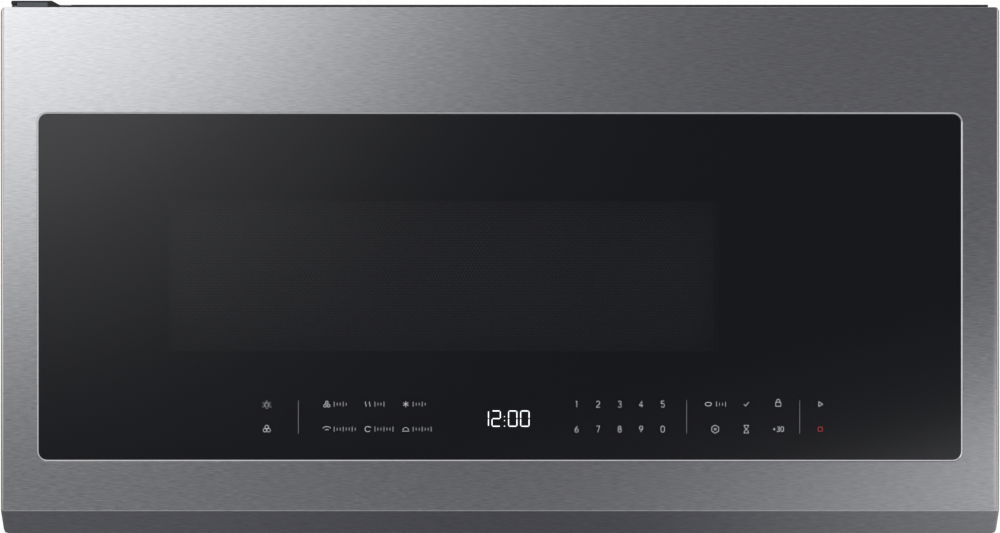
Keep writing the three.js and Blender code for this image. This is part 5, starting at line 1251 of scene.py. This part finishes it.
# A lamp lens: the margin round its flutes, their pitch, the height of the plate's underside over the
# node's, and how far the fluted part's top lies under the node's, in millimetres.
FLUTE_MARGIN, FLUTE_PITCH, LENS_PLATE, FLUTE_TOP = 4, 3.6, 1.15, 1.9


class LampLenses(bpy.types.Operator):
    """Moulds the two ribbed lenses of the cooktop lamps"""
    bl_idname = "microwave.lamp_lenses"
    bl_label = "Cooktop lamp lenses"

    def execute(self, context):
        for side in ("left", "right"):
            node = f"cooktop_lamp_lens_{side}"
            low, high = box_mm(node)
            shape = together(
                ribbed_lens(low + (FLUTE_MARGIN, FLUTE_MARGIN, 0),
                            high - (FLUTE_MARGIN, FLUTE_MARGIN, FLUTE_TOP), FLUTE_PITCH),
                prism(rectangle(low[:2], high[:2], 3, 4), low[2] + LENS_PLATE, high[2], "z", 0.4))
            add_piece(f"ribbed_lamp_lens_{side}", shape, made_of("frosted_lens"), "cabinet",
                      [node])
        return {"FINISHED"}


# The glass tray, in millimetres: how far its underside lies under its rim, the thickness of its
# floor, the width of its rim, and the pitch, height and range of the rings under its floor.
TRAY_DEPTH, TRAY_FLOOR, TRAY_RIM = 15, 5, 8
TRAY_RING_PITCH, TRAY_RING_HEIGHT, TRAY_RING_FIRST, TRAY_RING_LAST = 15, 0.5, 25, 95
# Its three lugs: their distance from the middle, radius and sides; and half a roller's width.
LUG_REACH, LUG_RADIUS, LUG_SIDES, ROLLER_HALF = 10, 3, 16, 5.0


def tray_profile(radius, rim, underside):
    """The tray's section from the middle of its underside out to the rim and back to the middle. Its
    underside has rings, 0.5 mm times the fourth power of a cosine of the radius, cut off at zero."""
    inner, floor = radius - TRAY_RIM, underside + TRAY_FLOOR
    edge = rounded_corners(
        [(0, underside), (inner - 8, underside), (radius, rim - 2.5), (radius, rim), (inner, rim),
         (inner - 12, floor), (0, floor)], [0, 8, 1.4, 1.2, 1.6, 6, 0], 5)
    reach = np.linspace(0, inner - 14, 60)
    crest = np.maximum(np.cos(2 * np.pi * reach / TRAY_RING_PITCH), 0) ** 4
    crest = crest * (reach > TRAY_RING_FIRST) * (reach < TRAY_RING_LAST)
    under = np.stack([reach, underside + TRAY_RING_HEIGHT * crest], -1)
    return np.concatenate([under, edge[1:].reshape(-1, 2)])


def tray_lug(centre, low, high, angle):
    """A round lug with a slightly rounded foot, which the coupler drives."""
    place = np.add(centre, (LUG_REACH * math.cos(angle), LUG_REACH * math.sin(angle), 0))
    profile = [(0, low), (LUG_RADIUS - 0.8, low), (LUG_RADIUS - 0.1, low + 0.7), (LUG_RADIUS, high),
               (0, high)]
    return turned(profile, place, "z", LUG_SIDES)


class OvenTray(bpy.types.Operator):
    """Turns the glass tray with its lugs, and the three rollers"""
    bl_idname = "microwave.oven_tray"
    bl_label = "Glass tray and rollers"

    def execute(self, context):
        low, high = box_mm("glass_tray")
        radius, rim, underside = (high[0] - low[0]) / 2, high[2], high[2] - TRAY_DEPTH
        centre = ((low[0] + high[0]) / 2, (low[1] + high[1]) / 2, 0)
        dish = turned(tray_profile(radius, rim, underside), centre, "z", 96)
        lugs = [tray_lug(centre, low[2], underside + 0.5, turn * math.pi / 3) for turn in (1, 3, 5)]
        add_piece("glass_turntable", together(dish, *lugs), made_of("clear_glass"), "tray",
                  ["glass_tray"], flat_to=40)
        for index in range(3):
            node = f"roller_{index + 1}"
            low, high = box_mm(node)
            middle = (low + high) / 2
            wheel = turned(roller_profile(high[2] - middle[2], ROLLER_HALF), (0, 0, 0), "x", 32)
            points, blocks = turned_about_z(wheel, index * 2 * math.pi / 3)
            add_piece(f"tray_roller_{index + 1}", (points + middle, blocks), made_of("white_acetal"),
                      node, [node])
        return {"FINISHED"}


# Pressed ribs as (middle, half size), in millimetres: (across, depth) on the top plate and (across,
# up) on the rear plate, and how far they rise.
TOP_RIBS = [((x, y), (half, 8)) for x, half in ((-255, 85), (215, 62)) for y in (-70, -120, -170)]
TOP_RIBS += [((-165, -235), (170, 8)), ((180, -235), (150, 8))]
REAR_RIBS = [((x, z), (150, 7)) for x in (-175, 175) for z in (176, 148)]
TOP_RIB_RISE, REAR_RIB_RISE = 2.0, 1.5
# Places of the screws on each sheet, in millimetres: (across, depth) on the top plate, (across, up)
# on the rear plate and the front frame, and (depth, up) on the side panels.
TOP_SCREWS = [(x, y) for x in (-368, 368) for y in (-20, -150, -280)]
TOP_SCREWS += [(x, y) for y in (-12, -290) for x in (-200, 0, 200)]
REAR_SCREWS = [(x, z) for x in (-364, 364) for z in (190, 100, 0, -100, -195)]
REAR_SCREWS += [(x, z) for x in (-120, 120) for z in (193, 133)] + [(x, -197) for x in (-180, 0, 180)]
SIDE_SCREWS = [(y, z) for y in (-14, -330) for z in (175, 0, -175)]
FRONT_SCREWS = [(350, z) for z in (122, 0, -122)] + [(x, -190) for x in (-250, 0, 250)]


class SheetDetails(bpy.types.Operator):
    """Presses ribs into the cabinet's sheets and drives in their screws"""
    bl_idname = "microwave.sheet_details"
    bl_label = "Ribs and screws"

    def execute(self, context):
        roof, back = box_mm("top_plate")[1][2], box_mm("rear_plate")[1][1]
        for name, ribs, level, rise, axis in (("top_ribs", TOP_RIBS, roof, TOP_RIB_RISE, "z"),
                                              ("rear_ribs", REAR_RIBS, back, REAR_RIB_RISE, "y")):
            shape = together(*[raised_rib(place, half, level, rise, axis) for place, half in ribs])
            add_piece(name, shape, made_of("galvanised"), "cabinet")
        left, right = box_mm("side_panel_left")[0][0], box_mm("side_panel_right")[1][0]
        frame_front = box_mm("front_frame")[0][1]
        for name, places, level, axis, way, finish in (
                ("top_screws", TOP_SCREWS, roof, "z", 1, "zinc_screw"),
                ("rear_screws", REAR_SCREWS, back, "y", 1, "zinc_screw"),
                ("side_screws_left", SIDE_SCREWS, left, "x", -1, "black_screw"),
                ("side_screws_right", SIDE_SCREWS, right, "x", 1, "black_screw"),
                ("front_screws", FRONT_SCREWS, frame_front, "y", -1, "zinc_screw")):
            offsets = laid(np.array(places, float), level, axis)
            add_piece(name, repeated(screw_head(axis, way), offsets), made_of(finish), "cabinet")
        return {"FINISHED"}


class NodeFinishes(bpy.types.Operator):
    """Makes all finishes from the settings and gives every CAD node that is still shown its own"""
    bl_idname = "microwave.node_finishes"
    bl_label = "Finishes"

    def execute(self, context):
        make_finishes()
        for name, finish in NODE_FINISHES.items():
            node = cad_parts[name]
            node.data.materials.clear()
            node.data.materials.append(made_of(finish))
        return {"FINISHED"}


# Width of the camera's sensor in millimetres, and how far it sees in metres.
SENSOR_WIDTH, SIGHT = 36, 100
WHITE = (1, 1, 1, 1)


class Stage(bpy.types.Operator):
    """Sets up the floor, the soft light and the camera"""
    bl_idname = "microwave.stage"
    bl_label = "Stage"

    def execute(self, context):
        _, _, stage = settings()
        front = CAD_BOX[0][1]
        scene = context.scene
        eye = bpy.data.cameras.new("camera")
        eye.sensor_width = SENSOR_WIDTH
        eye.lens = SENSOR_WIDTH * stage.distance / stage.frame_width
        eye.clip_end = SIGHT
        camera = bpy.data.objects.new("camera", eye)
        camera.location = (0, front - stage.distance, stage.level)
        camera.rotation_euler = (math.pi / 2, 0, 0)
        scene.collection.objects.link(camera)
        scene.camera = camera
        scene.view_settings.view_transform = "Standard"
        add_world(scene, stage)
        add_floor(scene, stage)
        add_cards(scene, stage, front)
        add_lights(scene)
        return {"FINISHED"}


def add_world(scene, stage):
    """White where the camera, a gloss or clear glass looks at it, and an even light elsewhere."""
    scene.world = bpy.data.worlds.new("studio")
    tree = empty_tree(scene.world)
    path = add_node(tree, "ShaderNodeLightPath")
    seen = add_node(tree, "ShaderNodeMath", {"operation": "MAXIMUM"},
                    _0=path.outputs["Is Camera Ray"], _1=path.outputs["Is Glossy Ray"])
    seen = add_node(tree, "ShaderNodeMath", {"operation": "MAXIMUM"},
                    _0=seen.outputs[0], _1=path.outputs["Is Transmission Ray"])
    light = add_node(tree, "ShaderNodeBackground", Color=WHITE, Strength=stage.sky)
    white = add_node(tree, "ShaderNodeBackground", Color=WHITE, Strength=1.0)
    mixed = add_node(tree, "ShaderNodeMixShader", Fac=seen.outputs[0],
                     _1=light.outputs[0], _2=white.outputs[0])
    add_node(tree, "ShaderNodeOutputWorld", Surface=mixed.outputs[0])


# Half the floor's side, the middle of its shadow, and the distances from there between which it
# turns into the background, in metres.
FLOOR_REACH, SHADOW_MIDDLE, FADE_START, FADE_END = 30, (0, -0.2, 0), 0.45, 1.5


def stage_sheet(scene, name, corners, material):
    """A flat sheet of one face that belongs to the stage."""
    mesh = bpy.data.meshes.new(name)
    mesh.from_pydata(corners, [], [(0, 1, 2, 3)])
    mesh.materials.append(material)
    sheet = bpy.data.objects.new(name, mesh)
    scene.collection.objects.link(sheet)
    return sheet


def add_floor(scene, stage):
    """A pale matt floor that keeps the shadow near the part and turns into the white background
    farther off. Seen from below it is clear, so that the underside can be looked at."""
    reach, level = FLOOR_REACH, CAD_BOX[0][2] - stage.floor_drop
    signs = [(-1, -1), (1, -1), (1, 1), (-1, 1)]
    corners = [(x * reach, y * reach, level) for x, y in signs]
    material = bpy.data.materials.new("floor_paper")
    tree = empty_tree(material)
    paper = add_node(tree, "ShaderNodeBsdfDiffuse", Color=(0.93, 0.93, 0.93, 1))
    white = add_node(tree, "ShaderNodeEmission", Color=WHITE, Strength=1.0)
    clear = add_node(tree, "ShaderNodeBsdfTransparent")
    place = add_node(tree, "ShaderNodeTexCoord")
    flat = add_node(tree, "ShaderNodeVectorMath", {"operation": "MULTIPLY"},
                    _0=place.outputs["Object"], _1=(1, 1, 0))
    away = add_node(tree, "ShaderNodeVectorMath", {"operation": "DISTANCE"},
                    _0=flat.outputs[0], _1=SHADOW_MIDDLE)
    fade = add_node(tree, "ShaderNodeMapRange", {"interpolation_type": "SMOOTHSTEP"},
                    Value=away.outputs["Value"], From_Min=FADE_START, From_Max=FADE_END)
    seen = add_node(tree, "ShaderNodeLightPath")
    far = add_node(tree, "ShaderNodeMath", {"operation": "MULTIPLY"},
                   _0=fade.outputs[0], _1=seen.outputs["Is Camera Ray"])
    top = add_node(tree, "ShaderNodeMixShader", Fac=far.outputs[0],
                   _1=paper.outputs[0], _2=white.outputs[0])
    side = add_node(tree, "ShaderNodeNewGeometry")
    mixed = add_node(tree, "ShaderNodeMixShader", Fac=side.outputs["Backfacing"],
                     _1=top.outputs[0], _2=clear.outputs[0])
    add_node(tree, "ShaderNodeOutputMaterial", Surface=mixed.outputs[0])
    stage_sheet(scene, "floor", corners, material)


# Brightness of the cards, as base plus glows. A glow is measured along a direction, or away from a
# centre (x, z) with its height stretched, and has its brightness at places along that measure, in
# metres. The brightest that a curve may reach is GLOW_TOP, and a card is bluer by BLUE_SHARE.
GLOW_TOP, BLUE_SHARE = 3.0, 0.014
UPPER_LEFT_GLOW = (("away", (-0.9, 0.75), 1.0), [
    (0.0, 2.45), (0.15, 2.1), (0.25, 1.72), (0.35, 1.4), (0.45, 1.2), (0.55, 1.04), (0.65, 0.8),
    (0.75, 0.51), (0.85, 0.32), (1.0, 0.115), (1.2, 0.03), (1.5, 0.0)])
LOWER_RIGHT_GLOW = (("along", (1.0, 0.0, -3.5)), [
    (0.45, 0.0), (0.68, 0.0), (0.98, 0.02), (1.34, 0.1), (1.46, 0.175), (1.61, 0.37), (1.76, 0.64),
    (1.89, 0.95), (2.14, 1.25), (4.5, 1.35)])
OUTER_GLOW = (("along", (1.0, 0.0, 0.0)), [
    (-4.5, 1.1), (-1.9, 1.1), (-1.55, 0.4), (-1.3, 0.0), (1.4, 0.0), (1.7, 0.1), (2.1, 0.6), (4.5, 0.8)])
CEILING_GLOW = (("along", (0.0, 1.0, 0.0)), [
    (-3.0, 0.6), (-2.4, 1.0), (-1.0, 1.0), (-0.5, 0.6), (1.0, 0.6), (2.4, 0.6)])
UNDER_GLOW = (("along", (1.0, 0.0, 0.0)), [
    (-0.6, 0.08), (-0.3, 0.06), (0.0, 0.03), (0.12, 0.04), (0.28, 0.13), (0.5, 0.26), (0.9, 0.44)])
NEAR_FLOOR_GLOW = (("along", (0.0, 1.0, 0.0)), [
    (-3.0, 0.06), (-1.5, 0.08), (-1.2, 0.35), (-0.7, 0.35), (-0.55, 0.0)])


def glow_over(tree, measure, stops):
    """A brightness that follows stops over a measure of the object's own coordinates."""
    place = add_node(tree, "ShaderNodeTexCoord").outputs["Object"]
    if measure[0] == "along":
        over = add_node(tree, "ShaderNodeVectorMath", {"operation": "DOT_PRODUCT"},
                        _0=place, _1=measure[1])
    else:
        (x, z), stretch = measure[1:]
        flat = add_node(tree, "ShaderNodeVectorMath", {"operation": "MULTIPLY"},
                        _0=place, _1=(1, 0, stretch))
        over = add_node(tree, "ShaderNodeVectorMath", {"operation": "DISTANCE"},
                        _0=flat.outputs[0], _1=(x, 0, z * stretch))
    first, last = stops[0][0], stops[-1][0]
    share = add_node(tree, "ShaderNodeMapRange", Value=over.outputs["Value"],
                     From_Min=first, From_Max=last)
    curve = add_node(tree, "ShaderNodeFloatCurve", Value=share.outputs[0])
    points = curve.mapping.curves[0].points
    while len(points) < len(stops):
        points.new(0.5, 0.5)
    for point, (at, level) in zip(points, stops):
        point.location = ((at - first) / (last - first), level / GLOW_TOP)
        point.handle_type = "AUTO_CLAMPED"
    curve.mapping.update()
    return curve.outputs[0]


def graded_card(scene, name, low, high, glows, base):
    """A glowing card that only glossy surfaces see, a little bluer where it is dark. It is flat in
    the direction in which its two corners agree."""
    (x0, y0, z0), (x1, y1, z1) = low, high
    if z0 == z1:
        corners = [(x0, y0, z0), (x1, y0, z0), (x1, y1, z0), (x0, y1, z0)]
    else:
        corners = [(x0, y0, z0), (x1, y1, z0), (x1, y1, z1), (x0, y0, z1)]
    material = bpy.data.materials.new(name)
    tree = empty_tree(material)
    total = base / GLOW_TOP
    for measure, stops in glows:
        glow = glow_over(tree, measure, stops)
        total = add_node(tree, "ShaderNodeMath", {"operation": "ADD"}, _0=total, _1=glow).outputs[0]
    blue = add_node(tree, "ShaderNodeMath", {"operation": "ADD"}, _0=total, _1=BLUE_SHARE / GLOW_TOP)
    colour = add_node(tree, "ShaderNodeCombineColor", Red=total, Green=total, Blue=blue.outputs[0])
    light = add_node(tree, "ShaderNodeEmission", Color=colour.outputs[0], Strength=GLOW_TOP)
    add_node(tree, "ShaderNodeOutputMaterial", Surface=light.outputs[0])
    card = stage_sheet(scene, name, corners, material)
    card.visible_camera = False
    card.visible_diffuse = False
    card.visible_transmission = False
    card.visible_shadow = False


# Extent of the cards in metres: half widths of the outer and the front ones, heights of the tops of
# the front, the ceiling and the other cards, how far they reach under the floor, the rear cards'
# places beside and behind, and the gaps that keep cards apart.
OUTER_HALF, FRONT_HALF, REAR_HALF, REAR_START, REAR_END = 4.5, 1.25, 1.9, -0.3, 5
FRONT_TOP, CEILING, TALL, BELOW_FLOOR, FLOOR_END = 0.85, 2.4, 3.2, 2, 1
CARD_GAP, FLOOR_GAP = 0.02, 0.01


def add_cards(scene, stage, front):
    """Graded cards all round, which the steel and the glass mirror."""
    y = front - stage.distance
    far = y - CARD_GAP
    foot = CAD_BOX[0][2] - stage.floor_drop + FLOOR_GAP
    buried = foot - BELOW_FLOOR
    for name, low, high, glows, base in (
            ("front_card", (-FRONT_HALF, y, buried), (FRONT_HALF, y, FRONT_TOP),
             [UPPER_LEFT_GLOW, LOWER_RIGHT_GLOW], 0.148),
            ("outer_card", (-OUTER_HALF, far, buried), (OUTER_HALF, far, TALL), [OUTER_GLOW], 0.05),
            ("lower_card", (-OUTER_HALF, y, foot), (OUTER_HALF, FLOOR_END, foot),
             [UNDER_GLOW, NEAR_FLOOR_GLOW], 0.07),
            ("ceiling_card", (-OUTER_HALF, y, CEILING), (OUTER_HALF, CEILING, CEILING),
             [CEILING_GLOW], 0.0),
            ("left_rear_card", (-REAR_HALF, REAR_START, foot), (-REAR_HALF, REAR_END, TALL), [], 0.04),
            ("right_rear_card", (REAR_HALF, REAR_START, foot), (REAR_HALF, REAR_END, TALL), [], 0.04)):
        graded_card(scene, name, low, high, glows, base)


def add_lights(scene):
    """Soft lights that no gloss sees, which bring the colours to their written level."""
    for name, place, turn, size, power in (
            ("top_light", (0, -0.4, 2.6), (0, 0, 0), 3.0, 30),
            ("front_light", (0.3, -3.2, 1.2), (math.radians(68), 0, math.radians(5)), 2.0, 24)):
        lamp = bpy.data.lights.new(name, "AREA")
        lamp.size = size
        lamp.energy = power
        holder = bpy.data.objects.new(name, lamp)
        holder.location = place
        holder.rotation_euler = turn
        holder.visible_glossy = False
        scene.collection.objects.link(holder)


class MicrowavePanel(bpy.types.Panel):
    """Lists the steps and their settings in the sidebar"""
    bl_idname = "VIEW3D_PT_microwave"
    bl_label = "Microwave"
    bl_space_type = "VIEW_3D"
    bl_region_type = "UI"
    bl_category = "Microwave"

    def draw(self, context):
        for step in STEPS:
            self.layout.operator(step.bl_idname)
        for group in settings():
            box = self.layout.box()
            for name in group.bl_rna.properties.keys():
                if name not in ("rna_type", "name"):
                    box.prop(group, name)


STEPS = (DoorSkin, WindowTrim, DoorGlass, DoorScreen, TouchMarks, HingeCover, GreaseFilters, LampLenses,
         OvenTray, SheetDetails, NodeFinishes, Stage)
CLASSES = (MicrowaveSizes, MicrowaveLook, MicrowaveStage, *STEPS, MicrowavePanel)


def register():
    """Makes Blender know the classes and puts the settings on the scene."""
    for each in CLASSES:
        bpy.utils.register_class(each)
    bpy.types.Scene.microwave_sizes = bpy.props.PointerProperty(type=MicrowaveSizes)
    bpy.types.Scene.microwave_look = bpy.props.PointerProperty(type=MicrowaveLook)
    bpy.types.Scene.microwave_stage = bpy.props.PointerProperty(type=MicrowaveStage)


def unregister():
    """Takes back what register() did."""
    del bpy.types.Scene.microwave_stage
    del bpy.types.Scene.microwave_look
    del bpy.types.Scene.microwave_sizes
    for each in reversed(CLASSES):
        bpy.utils.unregister_class(each)


def main():
    """Runs every step in order."""
    register()
    for step in STEPS:
        group, name = step.bl_idname.split(".")
        result = getattr(getattr(bpy.ops, group), name)()
        if result != {"FINISHED"}:
            raise RuntimeError(f"{step.bl_label} did not finish")


if __name__ == "__main__":
    main()
